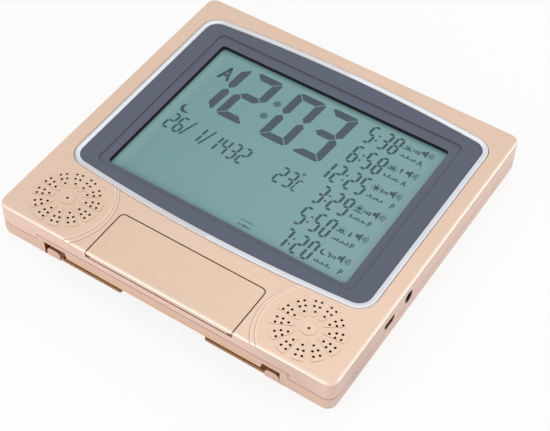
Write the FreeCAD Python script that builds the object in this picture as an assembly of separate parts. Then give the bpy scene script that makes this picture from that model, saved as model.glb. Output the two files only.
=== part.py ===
import FreeCAD, Part
import math
import os

from FreeCAD import Vector

# Prayer-time clock, lying on its back. Millimetres.
# X runs to the right of the display, Y towards its top, Z out of its face; the back lies on Z = 0.

os.makedirs("parts", exist_ok=True)

# ---- Driving sizes -------------------------------------------------------------------------------

# Case
CASE_WIDTH = 225.0
CASE_HEIGHT = 215.0
CASE_DEPTH = 27.0
CASE_CORNER_R = 6.2
CASE_WALL = 2.0
FRONT_EDGE_R = 1.2
BACK_EDGE_R = 6.0
FRONT_SHELL_DEPTH = 14.25
PARTING_ABOVE_NOTCH = 1.15
PARTING_RISE_MARGIN = 27.6
REVEAL_HEIGHT = 0.4
REVEAL_DEPTH = 0.6

# Relief of the face: raised grille petals, and a middle panel two steps lower between two arcs
PETAL_RISE = 0.3
PETAL_INNER_R = 7.8
PETAL_OUTER_R = 21.5
PETAL_INNER_WIDTH = 1.9
PETAL_OUTER_WIDTH = 7.4
PETAL_CORNER_R = 0.7
BOSS_R = 4.6
PANEL_STEP = 0.3
PANEL_STEP_RUN = 0.4
PANEL_ARC_R = 36.6
PANEL_ARC_X = 7.5
PANEL_ARC_Y = -2.0
BAND_ARC_R = 33.9
BAND_ARC_X = 7.0
BAND_ARC_Y = -1.0

# Display opening, whose top and bottom edges bow outwards
OPENING_SIDE_MARGIN = 9.7
OPENING_TOP_MARGIN = 9.4
OPENING_BOTTOM_MARGIN = 45.1
OPENING_BOW_R = 960.0
OPENING_CORNER_R = 12.5
SKIRT_WALL = 1.5
LEDGE_REACH = 6.6
LEDGE_DROP = 3.8
LEDGE_THICKNESS = 1.6

# Silver trim ring and dark bezel
RING_GAP = 0.5
RING_WIDTH = 3.2
RING_CREST_INSET = 1.1
RING_OUTER_DROP = 0.25
RING_INNER_DROP = 0.4
BEZEL_DROP = 1.0
BEZEL_THICKNESS = 1.8
BEZEL_FIT = 0.1
BEZEL_FOOT = 2.0
BEZEL_STEP_MARGIN_X = 15.3
BEZEL_STEP_MARGIN_Y = 14.75
BEZEL_STEP_DEPTH = 0.8
BEZEL_STEP_R = 4.0
BEZEL_STEP_LIFT = -0.9
WINDOW_MARGIN_X = 21.3
WINDOW_MARGIN_Y = 20.25
WINDOW_LIFT = -2.85
WINDOW_CORNER_R = 2.5
WINDOW_WALL = 1.5
WINDOW_CHAMFER = 0.15

# Display glass, its light guide and the tray behind
GLASS_BACKSET = 4.8
GLASS_SHEET = 1.05
GLASS_BORDER = 3.5
GLASS_BOTTOM_BORDER = 2.0
GLASS_CONTACT_WIDTH = 3.5
GLASS_SEAT_GAP = 0.05
GUIDE_THICKNESS = 1.9
TRAY_FLOOR = 1.0
TRAY_WALL = 1.5
TRAY_FIT = 0.3
TRAY_EAR_LENGTH = 7.5
TRAY_EAR_WIDTH = 8.0
TRAY_EAR_LOW_EDGE = 17.0
TRAY_EAR_TOP_EDGE = 12.0
TRAY_POST_EDGE_X = 8.0
TRAY_POST_EDGE_Y = 10.0
ZEBRA_WIDTH = 2.4
ZEBRA_LENGTH = 140.0

# Circuit boards
BOARD_THICKNESS = 1.6
BOARD_POST_HEIGHT = 0.9
BOARD_POST_R = 2.5
MAIN_BOARD_WIDTH = 146.0
MAIN_BOARD_HEIGHT = 82.0
KEY_BOARD_THICKNESS = 1.0
# On the board's rear face: x, distance below its top edge, width, height and depth of each chip,
# then x, distance below its top edge, radius and depth of each can
BOARD_CHIPS = ((-30.0, 26.0, 14.0, 14.0, 1.6), (12.0, 24.0, 12.0, 10.0, 1.5),
               (36.0, 30.0, 8.0, 6.0, 1.4), (-58.0, 40.0, 8.0, 5.0, 1.4))
BOARD_CANS = ((0.0, 50.0, 4.0, 6.5), (14.0, 52.0, 3.2, 6.0), (28.0, 50.0, 3.2, 6.0), (-48.0, 60.0, 6.0, 4.5))

# Small screws that hold tray and boards
SMALL_SCREW_R = 1.0
SMALL_SCREW_HEAD_R = 2.1
SMALL_SCREW_HEAD = 1.2
SMALL_SCREW_REACH = 3.4
SMALL_SCREW_TIP_GAP = 0.1
SMALL_SCREW_HOLE_R = 1.3

# Lid and its hinge
LID_SIDE_MARGIN = 63.75
LID_HEIGHT = 34.0
LID_THICKNESS = 1.5
LID_GAP = 0.5
LID_CORNER_R = 2.75
LID_LIP_HEIGHT = 2.9
LID_LIP_GAP = 1.0
LID_LEDGE = 2.0
LID_SEAT_GAP = 0.1
LID_NOTCH = 2.6
LID_NOTCH_HEIGHT = 1.2
LID_AXIS_INSET = 1.9
LID_AXIS_DROP = 1.7
LID_GROOVE_R = 2.9
LID_GROOVE_OVERRUN = 20.0
LID_EAR_R = 1.4
LID_PIN_R = 0.8
LID_PIN_LENGTH = 2.4
LID_PIN_FIT = 0.06

# Key well and keys
WELL_DEPTH = 3.6
WELL_FLOOR = 1.2
WELL_CORNER_R = 1.5
WELL_BLOCK_WALL = 3.3
WELL_UNDER = 0.9
KEY_COLUMNS = 4
KEY_ROWS = 2
KEY_SIDE_SPACE = 5.25
KEY_SPACE_X = 8.0
KEY_SPACE_Y = 6.0
KEY_HEIGHT = 7.0
KEY_CORNER_R = 1.5
KEY_STAND = 1.6
KEY_GAP = 0.3
KEY_FLANGE = 0.5
KEY_FLANGE_REACH = 1.0
KEY_FLANGE_GAP = 0.05
KEY_PLUNGER_R = 1.2
KEY_PLUNGER_LENGTH = 0.95
KEY_PLUNGER_FIT = 0.1
KEY_DISH_DEPTH = 0.4
KEY_DISH_RIM_X = 2.0
KEY_DISH_RIM_Y = 1.0
KEY_POST_HEIGHT = 1.9
KEY_POST_INSET = 1.0
KEY_BOARD_OVERHANG = 2.2
SWITCH_SIDE = 5.0
SWITCH_HEIGHT = 1.0

# Speakers and their grilles
SPEAKER_EDGE_X = 31.0
SPEAKER_EDGE_Y = 25.3
GRILLE_SECTORS = 12
GRILLE_HOLE_R = 0.8
GRILLE_RINGS = ((11.36, (0.0,)), (14.98, (-5.8, 5.8)), (18.46, (-5.5, 5.5)))
SPEAKER_R = 21.0
SPEAKER_FLANGE = 0.8
SPEAKER_GASKET_WIDTH = 2.0
SPEAKER_GASKET = 0.95
SPEAKER_NECK_R = 12.5
SPEAKER_NECK_DEPTH = 7.0
SPEAKER_SHEET = 0.8
SPEAKER_MAGNET_R = 11.0
SPEAKER_MAGNET_DEPTH = 4.4
SPEAKER_RIM_GAP = 0.3
SPEAKER_RIM_WALL = 1.3
SPEAKER_RIM_HEIGHT = 4.0
CONE_R = 18.4
CONE_SHEET = 0.4
CONE_DEPTH = 4.0
CONE_DOME_R = 6.0
CONE_DOME_RISE = 1.3
CONE_DOME_SHOULDER = 0.9
CONE_COIL_R = 5.0
CONE_COIL_GAP = 0.3
CONE_EDGE_GAP = 0.1
MAGNET_POLE_LENGTH = 1.5

# Legs in the rebate along the bottom of the back
REBATE_ROOF_Z = 9.5
REBATE_DEPTH = 13.4
REBATE_WALL = 1.6
NOTCH_OUTER_REACH = 5.4
# from the leg's pivot inwards, on the left and on the right
NOTCH_INNER_REACH_LEFT = 10.6
NOTCH_INNER_REACH_RIGHT = 7.0
NOTCH_SLOPE = 1.1
NOTCH_ROOF_Z = 14.0
LEG_PIVOT_MARGIN = 38.1
LEG_PIVOT_Z = 4.9
LEG_HUB_WIDTH = 9.2
LEG_HUB_HEIGHT = 8.8
LEG_HUB_CORNER_R = 3.0
LEG_HUB_INSET = 0.8
LEG_BACK = 11.5
LEG_TIP_X = 28.7
LEG_TIP_R = 1.2
LEG_INSET = 3.0
LEG_BOTTOM_Z = 0.3
LEG_THICKNESS = 2.5
LEG_RIB = 1.6
LEG_RIB_HEIGHT = 2.4
LEG_RIB_RUNOUT = 12.0
LEG_SHAFT_R = 2.5
LEG_SHAFT_FIT = 0.06
LEG_WALL_GAP = 0.2
LEG_WALL = 1.9
LEG_BOSS_R = 4.4
LEG_BOSS_LENGTH = 3.2
LEG_SCREW_R = 1.2
LEG_SCREW_LENGTH = 7.0
LEG_WASHER_R = 3.4
LEG_WASHER_GAP = 0.3
LEG_WASHER = 0.8
LEG_SCREW_HEAD_R = 2.4
LEG_SCREW_HEAD = 1.4

# Battery bay, cells and door
CELL_R = 7.25
CELL_LENGTH = 49.5
CELL_NUB_R = 2.75
CELL_NUB = 1.0
CELL_COUNT = 3
CELL_PITCH = 15.0
CELL_LIFT = 2.3
BAY_END_SPACE = 5.0
BAY_SIDE_GAP = 0.25
BAY_WALL = 2.0
BAY_ROOF = 1.2
BAY_ROOF_GAP = 0.2
BAY_ROUND_R = 7.0
DOOR_THICKNESS = 1.6
DOOR_GAP = 0.3
DOOR_SEAT = 1.3
DOOR_SEAT_GAP = 0.1
DOOR_CORNER_R = 2.0
DOOR_TAB_WIDTH = 12.0
DOOR_TAB_REACH = 9.0
DOOR_TAB_CURL = 2.2
DOOR_TAB_CURL_SHEET = 1.4
DOOR_TAB_CORNER_R = 1.5
DOOR_HOOK_X = 18.0
DOOR_HOOK_WIDTH = 5.0
DOOR_HOOK_REACH = 1.8
DOOR_HOOK = 1.2
DOOR_AXIS_Z = 0.1
DOOR_GRIPS = 5
DOOR_GRIP_PITCH = 3.0
DOOR_GRIP_WIDTH = 1.0
DOOR_GRIP_DEPTH = 0.5
DOOR_GRIP_LENGTH = 20.0
DOOR_GRIP_EDGE = 6.0
CONTACT_SHEET = 0.4
CONTACT_WIDTH = 8.0
CONTACT_HEIGHT = 10.0
CONTACT_CELL_GAP = 0.05
CONTACT_NOSE = 2.0

# Case screws and their posts
CASE_SCREW_EDGE = 12.0
CASE_SCREW_TOP_EDGE = 19.5
CASE_SCREW_MIDDLE_Y = 5.0
CASE_SCREW_LOW_EDGE = 45.5
CASE_SCREW_FROM_SPEAKER = 25.0
CASE_SCREW_LOW_RISE = 40.0
CASE_SCREW_R = 1.4
CASE_SCREW_HEAD_R = 2.6
CASE_SCREW_HEAD = 1.8
CASE_SCREW_BITE = 8.0
CASE_SCREW_SLOT = 2.8
CASE_SCREW_SLOT_WIDTH = 0.6
CASE_SCREW_SLOT_DEPTH = 0.8
CASE_POST_R = 2.9
CASE_WELL_R = 3.0
CASE_WELL_DEPTH = 5.0
CASE_POST_GAP = 0.1

# Wall keyholes in the back
KEYHOLE_X = 55.0
KEYHOLE_EDGE_Y = 30.0
KEYHOLE_HEAD_R = 4.5
KEYHOLE_SLOT_R = 2.2
KEYHOLE_LENGTH = 8.0
KEYHOLE_POCKET_DEPTH = 5.0
KEYHOLE_POCKET_ROOM = 1.0
KEYHOLE_POCKET_WALL = 1.5

# Sockets in the right side
SOCKET_UNDER_LEDGE = 0.3
JACK_EDGE_Y = 80.0
SOCKET_BACKSET = 0.4
SOCKET_HOLE_GAP = 0.3
JACK_NOSE_R = 3.7
JACK_BODY_WIDTH = 8.6
JACK_BODY_HEIGHT = 7.4
JACK_BODY_LENGTH = 11.5
JACK_BORE_R = 2.8
JACK_BORE_LENGTH = 9.0
JACK_PIN_R = 1.0
JACK_PIN_BACKSET = 1.5
DATA_EDGE_Y = 58.8
DATA_WIDTH = 10.0
DATA_HEIGHT = 4.2
DATA_CHAMFER = 1.7
DATA_SHEET = 0.5
DATA_LENGTH = 8.0
DATA_TONGUE = 1.2
DATA_TONGUE_SIDE = 1.0
DATA_FOOT = 4.0
DATA_FOOT_SINK = 0.2
SOCKET_WALL_GAP = 0.1
SOCKET_BOARD_WIDTH = 14.0
SOCKET_BOARD_END = 5.0
SOCKET_BOARD_THICKNESS = 1.2

# ---- Sizes worked out from these -----------------------------------------------------------------

HALF_WIDTH = CASE_WIDTH / 2
HALF_HEIGHT = CASE_HEIGHT / 2
FACE_Z = CASE_DEPTH - PETAL_RISE
BAND_Z = FACE_Z - PANEL_STEP
PANEL_Z = BAND_Z - PANEL_STEP
PLATE_UNDER_Z = FACE_Z - CASE_WALL
OPENING_HALF_WIDTH = HALF_WIDTH - OPENING_SIDE_MARGIN
OPENING_TOP_Y = HALF_HEIGHT - OPENING_TOP_MARGIN
OPENING_BOTTOM_Y = -HALF_HEIGHT + OPENING_BOTTOM_MARGIN
OPENING_HEIGHT = OPENING_TOP_Y - OPENING_BOTTOM_Y
OPENING_CENTRE_Y = (OPENING_TOP_Y + OPENING_BOTTOM_Y) / 2
LEDGE_TOP_Z = CASE_DEPTH - LEDGE_DROP
LEDGE_UNDER_Z = LEDGE_TOP_Z - LEDGE_THICKNESS
BEZEL_TOP_Z = CASE_DEPTH - BEZEL_DROP
BEZEL_UNDER_Z = BEZEL_TOP_Z - BEZEL_THICKNESS
BEZEL_STEP_WIDTH = 2 * (OPENING_HALF_WIDTH - BEZEL_STEP_MARGIN_X)
BEZEL_STEP_HEIGHT = OPENING_HEIGHT - 2 * BEZEL_STEP_MARGIN_Y
WINDOW_WIDTH = 2 * (OPENING_HALF_WIDTH - WINDOW_MARGIN_X)
WINDOW_HEIGHT = OPENING_HEIGHT - 2 * WINDOW_MARGIN_Y
GLASS_TOP_Z = CASE_DEPTH - GLASS_BACKSET
GLASS_UNDER_Z = GLASS_TOP_Z - 2 * GLASS_SHEET
WINDOW_Y = OPENING_CENTRE_Y + WINDOW_LIFT
GLASS_HALF_WIDTH = WINDOW_WIDTH / 2 + GLASS_BORDER
GLASS_TOP_Y = WINDOW_Y + WINDOW_HEIGHT / 2 + GLASS_BORDER
GLASS_BOTTOM_Y = WINDOW_Y - WINDOW_HEIGHT / 2 - GLASS_BOTTOM_BORDER
TRAY_TOP_Z = GLASS_UNDER_Z - GLASS_SEAT_GAP - GUIDE_THICKNESS - GLASS_SEAT_GAP
TRAY_UNDER_Z = TRAY_TOP_Z - TRAY_FLOOR
BOARD_TOP_Z = TRAY_UNDER_Z - BOARD_POST_HEIGHT
BOARD_UNDER_Z = BOARD_TOP_Z - BOARD_THICKNESS
TRAY_EAR_X = GLASS_HALF_WIDTH + TRAY_FIT + TRAY_WALL + TRAY_EAR_LENGTH / 2
TRAY_EAR_YS = (WINDOW_Y - WINDOW_HEIGHT / 2 + TRAY_EAR_LOW_EDGE,
               WINDOW_Y + WINDOW_HEIGHT / 2 - TRAY_EAR_TOP_EDGE)
TRAY_POST_YS = (GLASS_TOP_Y - MAIN_BOARD_HEIGHT + TRAY_POST_EDGE_Y, GLASS_TOP_Y - TRAY_POST_EDGE_Y)
TRAY_POST_X = MAIN_BOARD_WIDTH / 2 - TRAY_POST_EDGE_X

BOTTOM_Y = -HALF_HEIGHT
LID_TOP_Y = BOTTOM_Y + LID_HEIGHT
LID_HALF_WIDTH = HALF_WIDTH - LID_SIDE_MARGIN
LID_AXIS_Y = BOTTOM_Y + LID_AXIS_INSET
LID_AXIS_Z = PANEL_Z - LID_AXIS_DROP
LID_LIP_BOTTOM_Z = PANEL_Z - LID_LIP_HEIGHT
LID_UNDER_Z = PANEL_Z - LID_THICKNESS
LID_SEAT_Z = LID_UNDER_Z - LID_SEAT_GAP
WELL_TOP_Z = PANEL_Z - WELL_DEPTH
WELL_FLOOR_Z = WELL_TOP_Z - WELL_FLOOR
WELL_HALF_WIDTH = LID_HALF_WIDTH + LID_GAP - LID_LEDGE
WELL_TOP_Y = LID_TOP_Y + LID_GAP - LID_LEDGE
KEY_CENTRE_Y = (WELL_TOP_Y + LID_AXIS_Y + LID_GROOVE_R) / 2
KEY_WIDTH = (2 * (WELL_HALF_WIDTH - KEY_SIDE_SPACE) - (KEY_COLUMNS - 1) * KEY_SPACE_X) / KEY_COLUMNS
KEY_PITCH_X = KEY_WIDTH + KEY_SPACE_X
KEY_PITCH_Y = KEY_HEIGHT + KEY_SPACE_Y
KEY_TOP_Z = WELL_TOP_Z + KEY_STAND
SWITCH_BASE_Z = WELL_FLOOR_Z - KEY_POST_HEIGHT
KEY_BOARD_UNDER_Z = SWITCH_BASE_Z - KEY_BOARD_THICKNESS
KEY_BOARD_POST_X = WELL_HALF_WIDTH - KEY_POST_INSET

SPEAKER_X = HALF_WIDTH - SPEAKER_EDGE_X
SPEAKER_Y = BOTTOM_Y + SPEAKER_EDGE_Y

PARTING_Z = CASE_DEPTH - FRONT_SHELL_DEPTH
PARTING_MIDDLE_Z = NOTCH_ROOF_Z + LEG_WALL + PARTING_ABOVE_NOTCH
PARTING_RISE_HALF_WIDTH = HALF_WIDTH - PARTING_RISE_MARGIN

REBATE_BACK_Y = BOTTOM_Y + REBATE_DEPTH
LEG_PIVOT_X = HALF_WIDTH - LEG_PIVOT_MARGIN
NOTCH_OUTER_X = LEG_PIVOT_X + NOTCH_OUTER_REACH
NOTCH_INNER_X = {-1: LEG_PIVOT_X - NOTCH_INNER_REACH_LEFT, 1: LEG_PIVOT_X - NOTCH_INNER_REACH_RIGHT}
LEG_FRONT_Y = BOTTOM_Y + LEG_INSET
LEG_HUB_FRONT_Y = BOTTOM_Y + LEG_HUB_INSET
LEG_BACK_Y = BOTTOM_Y + LEG_BACK
LEG_WALL_Y = LEG_BACK_Y + LEG_WALL_GAP
LEG_BOSS_END_Y = LEG_WALL_Y + LEG_WALL + LEG_BOSS_LENGTH

BAY_HALF_LENGTH = (CELL_LENGTH + CELL_NUB) / 2 + BAY_END_SPACE
BAY_WIDTH = (CELL_COUNT - 1) * CELL_PITCH + 2 * CELL_R + 2 * BAY_SIDE_GAP
BAY_LOW_Y = REBATE_BACK_Y + BAY_WALL
BAY_HIGH_Y = BAY_LOW_Y + BAY_WIDTH
BAY_CENTRE_Y = (BAY_LOW_Y + BAY_HIGH_Y) / 2
CELL_Z = CELL_LIFT + CELL_R
BAY_ROOF_Z = CELL_Z + CELL_R + BAY_ROOF_GAP
DOOR_HALF_LENGTH = BAY_HALF_LENGTH + DOOR_SEAT
DOOR_LOW_Y = BAY_LOW_Y - DOOR_SEAT
DOOR_HIGH_Y = BAY_HIGH_Y + DOOR_SEAT
DOOR_SEAT_Z = DOOR_THICKNESS + DOOR_SEAT_GAP

JACK_Y = BOTTOM_Y + JACK_EDGE_Y
DATA_Y = BOTTOM_Y + DATA_EDGE_Y
SOCKET_Z = LEDGE_UNDER_Z - SOCKET_UNDER_LEDGE - JACK_BODY_HEIGHT / 2
SOCKET_FACE_X = HALF_WIDTH - CASE_WALL - SOCKET_WALL_GAP
SOCKET_NOSE_X = HALF_WIDTH - SOCKET_BACKSET
JACK_HOLE_R = JACK_NOSE_R + SOCKET_HOLE_GAP
SOCKET_BOARD_TOP_Z = SOCKET_Z - JACK_BODY_HEIGHT / 2 - SOCKET_WALL_GAP


# ---- Shapes ----------------------------------------------------------------------------------------

def block(x0, x1, y0, y1, z0, z1):
    return Part.makeBox(x1 - x0, y1 - y0, z1 - z0, Vector(x0, y0, z0))


def upright(x, y, radius, z0, z1):
    return Part.makeCylinder(radius, z1 - z0, Vector(x, y, z0))


def along_x(x0, x1, y, z, radius):
    return Part.makeCylinder(radius, x1 - x0, Vector(x0, y, z), Vector(1, 0, 0))


def along_y(x, y0, y1, z, radius):
    return Part.makeCylinder(radius, y1 - y0, Vector(x, y0, z), Vector(0, 1, 0))


def edges_along(shape, axis):
    found = []
    for edge in shape.Edges:
        start, end = edge.Vertexes[0].Point, edge.Vertexes[-1].Point
        run = end - start
        if run.Length > 1e-6 and abs(abs(run.normalize().dot(axis)) - 1) < 1e-6:
            found.append(edge)
    return found


def edges_at_z(shape, z):
    return [e for e in shape.Edges if abs(e.BoundBox.ZMin - z) < 1e-4 and abs(e.BoundBox.ZMax - z) < 1e-4]


def rounded(x0, x1, y0, y1, z0, z1, radius):
    plate = block(x0, x1, y0, y1, z0, z1)
    return plate.makeFillet(radius, edges_along(plate, Vector(0, 0, 1)))


def prism(points, direction):
    return Part.Face(Part.makePolygon(points + points[:1])).extrude(direction)


def mirrored(shape):
    return shape.mirror(Vector(0, 0, 0), Vector(1, 0, 0))


def joined(shapes):
    return shapes[0].multiFuse(shapes[1:]).removeSplitter()


def save(name, shape):
    shape.exportStep("parts/" + name + ".step")


# ---- The display opening's outline, with bowed top and bottom edges ----------------------------------

def bowed_wire(inset, z):
    """The opening's outline, moved inwards by inset. Its bows keep their centres, so insets run parallel."""
    half = OPENING_HALF_WIDTH - inset
    bow = OPENING_BOW_R - inset
    corner = OPENING_CORNER_R - inset
    low_centre = OPENING_CENTRE_Y - OPENING_HEIGHT / 2 + OPENING_BOW_R
    high_centre = OPENING_CENTRE_Y + OPENING_HEIGHT / 2 - OPENING_BOW_R
    corner_x = half - corner
    corner_run = math.sqrt((bow - corner) ** 2 - corner_x ** 2)
    edges = []
    for side, centre in ((1, high_centre), (-1, low_centre)):
        middle = Vector(corner_x, centre + side * corner_run, z)
        unit = (middle - Vector(0, centre, z)).normalize()
        touch = middle + unit * corner
        elbow = middle + (unit + Vector(1, 0, 0)).normalize() * corner
        outer = Vector(half, middle.y, z)
        bow_top = Vector(0, centre + side * bow, z)
        edges.append((outer, elbow, touch, bow_top))
    (outer_h, elbow_h, touch_h, top), (outer_l, elbow_l, touch_l, bottom) = edges

    def flipped(point):
        return Vector(-point.x, point.y, point.z)

    run = [
        Part.LineSegment(outer_l, outer_h),
        Part.Arc(outer_h, elbow_h, touch_h),
        Part.Arc(touch_h, top, flipped(touch_h)),
        Part.Arc(flipped(touch_h), flipped(elbow_h), flipped(outer_h)),
        Part.LineSegment(flipped(outer_h), flipped(outer_l)),
        Part.Arc(flipped(outer_l), flipped(elbow_l), flipped(touch_l)),
        Part.Arc(flipped(touch_l), bottom, touch_l),
        Part.Arc(touch_l, elbow_l, outer_l),
    ]
    return Part.Wire([piece.toShape() for piece in run])


def bowed_prism(inset, z0, z1):
    return Part.Face(bowed_wire(inset, z0)).extrude(Vector(0, 0, z1 - z0))


# ---- Case blank, cut into front and rear shells at the stepped parting line ----------------------------

SIDES = (-1, 1)


def case_blank(face_z):
    outer = rounded(-HALF_WIDTH, HALF_WIDTH, -HALF_HEIGHT, HALF_HEIGHT, 0, face_z, CASE_CORNER_R)
    outer = outer.makeFillet(BACK_EDGE_R, edges_at_z(outer, 0))
    return outer.makeFillet(FRONT_EDGE_R, edges_at_z(outer, face_z))


def lowered(shape, level_z, arc_r, arc_x, arc_y):
    """Brings the face between two arcs down to level_z, with the case's own rounded edge."""
    spare = case_blank(FACE_Z).cut(case_blank(level_z))
    between = block(-SPEAKER_X, SPEAKER_X, BOTTOM_Y - 1, OPENING_BOTTOM_Y + OPENING_CORNER_R, 0, CASE_DEPTH)
    foot_r = arc_r + PANEL_STEP_RUN
    rise = CASE_DEPTH - level_z
    top_r = foot_r - rise * PANEL_STEP_RUN / PANEL_STEP
    around = []
    for side in SIDES:
        centre = Vector(side * (SPEAKER_X + arc_x), SPEAKER_Y + arc_y, 0)
        around.append(Part.makeCylinder(foot_r, level_z, centre))
        around.append(Part.makeCone(foot_r, top_r, rise, centre + Vector(0, 0, level_z)))
    for zone in around:
        between = between.cut(zone)
    return shape.cut(spare.common(between))


def case_hollow():
    half_width, half_height = HALF_WIDTH - CASE_WALL, HALF_HEIGHT - CASE_WALL
    inner = rounded(-half_width, half_width, -half_height, half_height,
                    CASE_WALL, PLATE_UNDER_Z, CASE_CORNER_R - CASE_WALL)
    return inner.makeFillet(BACK_EDGE_R - CASE_WALL, edges_at_z(inner, CASE_WALL))


def rear_region(grow):
    """Everything behind the parting line, which rises in the middle of the bottom side."""
    low = block(-2 * HALF_WIDTH, 2 * HALF_WIDTH, -2 * HALF_HEIGHT, 2 * HALF_HEIGHT, -1, PARTING_Z + grow)
    half = PARTING_RISE_HALF_WIDTH + grow / 2
    step = block(-half, half, BOTTOM_Y - 1, BOTTOM_Y + CASE_WALL, 0, PARTING_MIDDLE_Z + grow)
    return low.fuse(step)


blank = lowered(case_blank(FACE_Z), BAND_Z, BAND_ARC_R, BAND_ARC_X, BAND_ARC_Y)
blank = lowered(blank, PANEL_Z, PANEL_ARC_R, PANEL_ARC_X, PANEL_ARC_Y)
case_wall = blank.cut(case_hollow())
skin = blank.cut(rounded(-HALF_WIDTH + REVEAL_DEPTH, HALF_WIDTH - REVEAL_DEPTH, -HALF_HEIGHT + REVEAL_DEPTH,
                         HALF_HEIGHT - REVEAL_DEPTH, -1, CASE_DEPTH + 1, CASE_CORNER_R - REVEAL_DEPTH))
reveal = rear_region(REVEAL_HEIGHT).cut(rear_region(0)).common(skin)

case_screws = []
for screw_side in SIDES:
    for screw_y in (HALF_HEIGHT - CASE_SCREW_TOP_EDGE, CASE_SCREW_MIDDLE_Y, BOTTOM_Y + CASE_SCREW_LOW_EDGE):
        case_screws.append((screw_side * (HALF_WIDTH - CASE_SCREW_EDGE), screw_y))
    case_screws.append((screw_side * (SPEAKER_X - CASE_SCREW_FROM_SPEAKER), BOTTOM_Y + CASE_SCREW_LOW_RISE))


# ---- Front shell --------------------------------------------------------------------------------------

def grille_holes(centre_x):
    """Twelve sectors of five holes round one middle hole."""
    spots = [(centre_x, SPEAKER_Y)]
    for sector in range(GRILLE_SECTORS):
        middle = 360.0 / GRILLE_SECTORS * (sector + 0.5)
        for radius, offsets in GRILLE_RINGS:
            for offset in offsets:
                angle = math.radians(middle + offset)
                spots.append((centre_x + radius * math.cos(angle), SPEAKER_Y + radius * math.sin(angle)))
    return [upright(x, y, GRILLE_HOLE_R, PLATE_UNDER_Z - 1, CASE_DEPTH + 1) for x, y in spots]


def grille_relief(centre_x):
    """A raised petal round each sector's holes, and a round boss in the middle."""
    low_z = FACE_Z - CASE_WALL / 2
    half_in, half_out = PETAL_INNER_WIDTH / 2, PETAL_OUTER_WIDTH / 2
    outer_x = math.sqrt(PETAL_OUTER_R ** 2 - half_out ** 2)
    inner_low, inner_high = Vector(PETAL_INNER_R, -half_in, low_z), Vector(PETAL_INNER_R, half_in, low_z)
    outer_low, outer_high = Vector(outer_x, -half_out, low_z), Vector(outer_x, half_out, low_z)
    outline = Part.Wire([
        Part.LineSegment(inner_low, outer_low).toShape(),
        Part.Arc(outer_low, Vector(PETAL_OUTER_R, 0, low_z), outer_high).toShape(),
        Part.LineSegment(outer_high, inner_high).toShape(),
        Part.LineSegment(inner_high, inner_low).toShape(),
    ])
    petal = Part.Face(outline).extrude(Vector(0, 0, CASE_DEPTH - low_z))
    petal = petal.makeFillet(PETAL_CORNER_R, edges_along(petal, Vector(0, 0, 1)))
    relief = [upright(centre_x, SPEAKER_Y, BOSS_R, low_z, CASE_DEPTH)]
    for sector in range(GRILLE_SECTORS):
        turned_petal = petal.copy()
        turned_petal.rotate(Vector(0, 0, 0), Vector(0, 0, 1), 360.0 / GRILLE_SECTORS * (sector + 0.5))
        turned_petal.translate(Vector(centre_x, SPEAKER_Y, 0))
        relief.append(turned_petal)
    return relief


def key_spots():
    spots = []
    for row in range(KEY_ROWS):
        for column in range(KEY_COLUMNS):
            x = (column - (KEY_COLUMNS - 1) / 2) * KEY_PITCH_X
            y = KEY_CENTRE_Y - (row - (KEY_ROWS - 1) / 2) * KEY_PITCH_Y
            spots.append((x, y))
    return spots


def speaker_rim(centre_x):
    inner = SPEAKER_R + SPEAKER_RIM_GAP
    low = PLATE_UNDER_Z - SPEAKER_RIM_HEIGHT
    rim = upright(centre_x, SPEAKER_Y, inner + SPEAKER_RIM_WALL, low, PLATE_UNDER_Z)
    return rim.cut(upright(centre_x, SPEAKER_Y, inner, low, PLATE_UNDER_Z))


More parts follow.
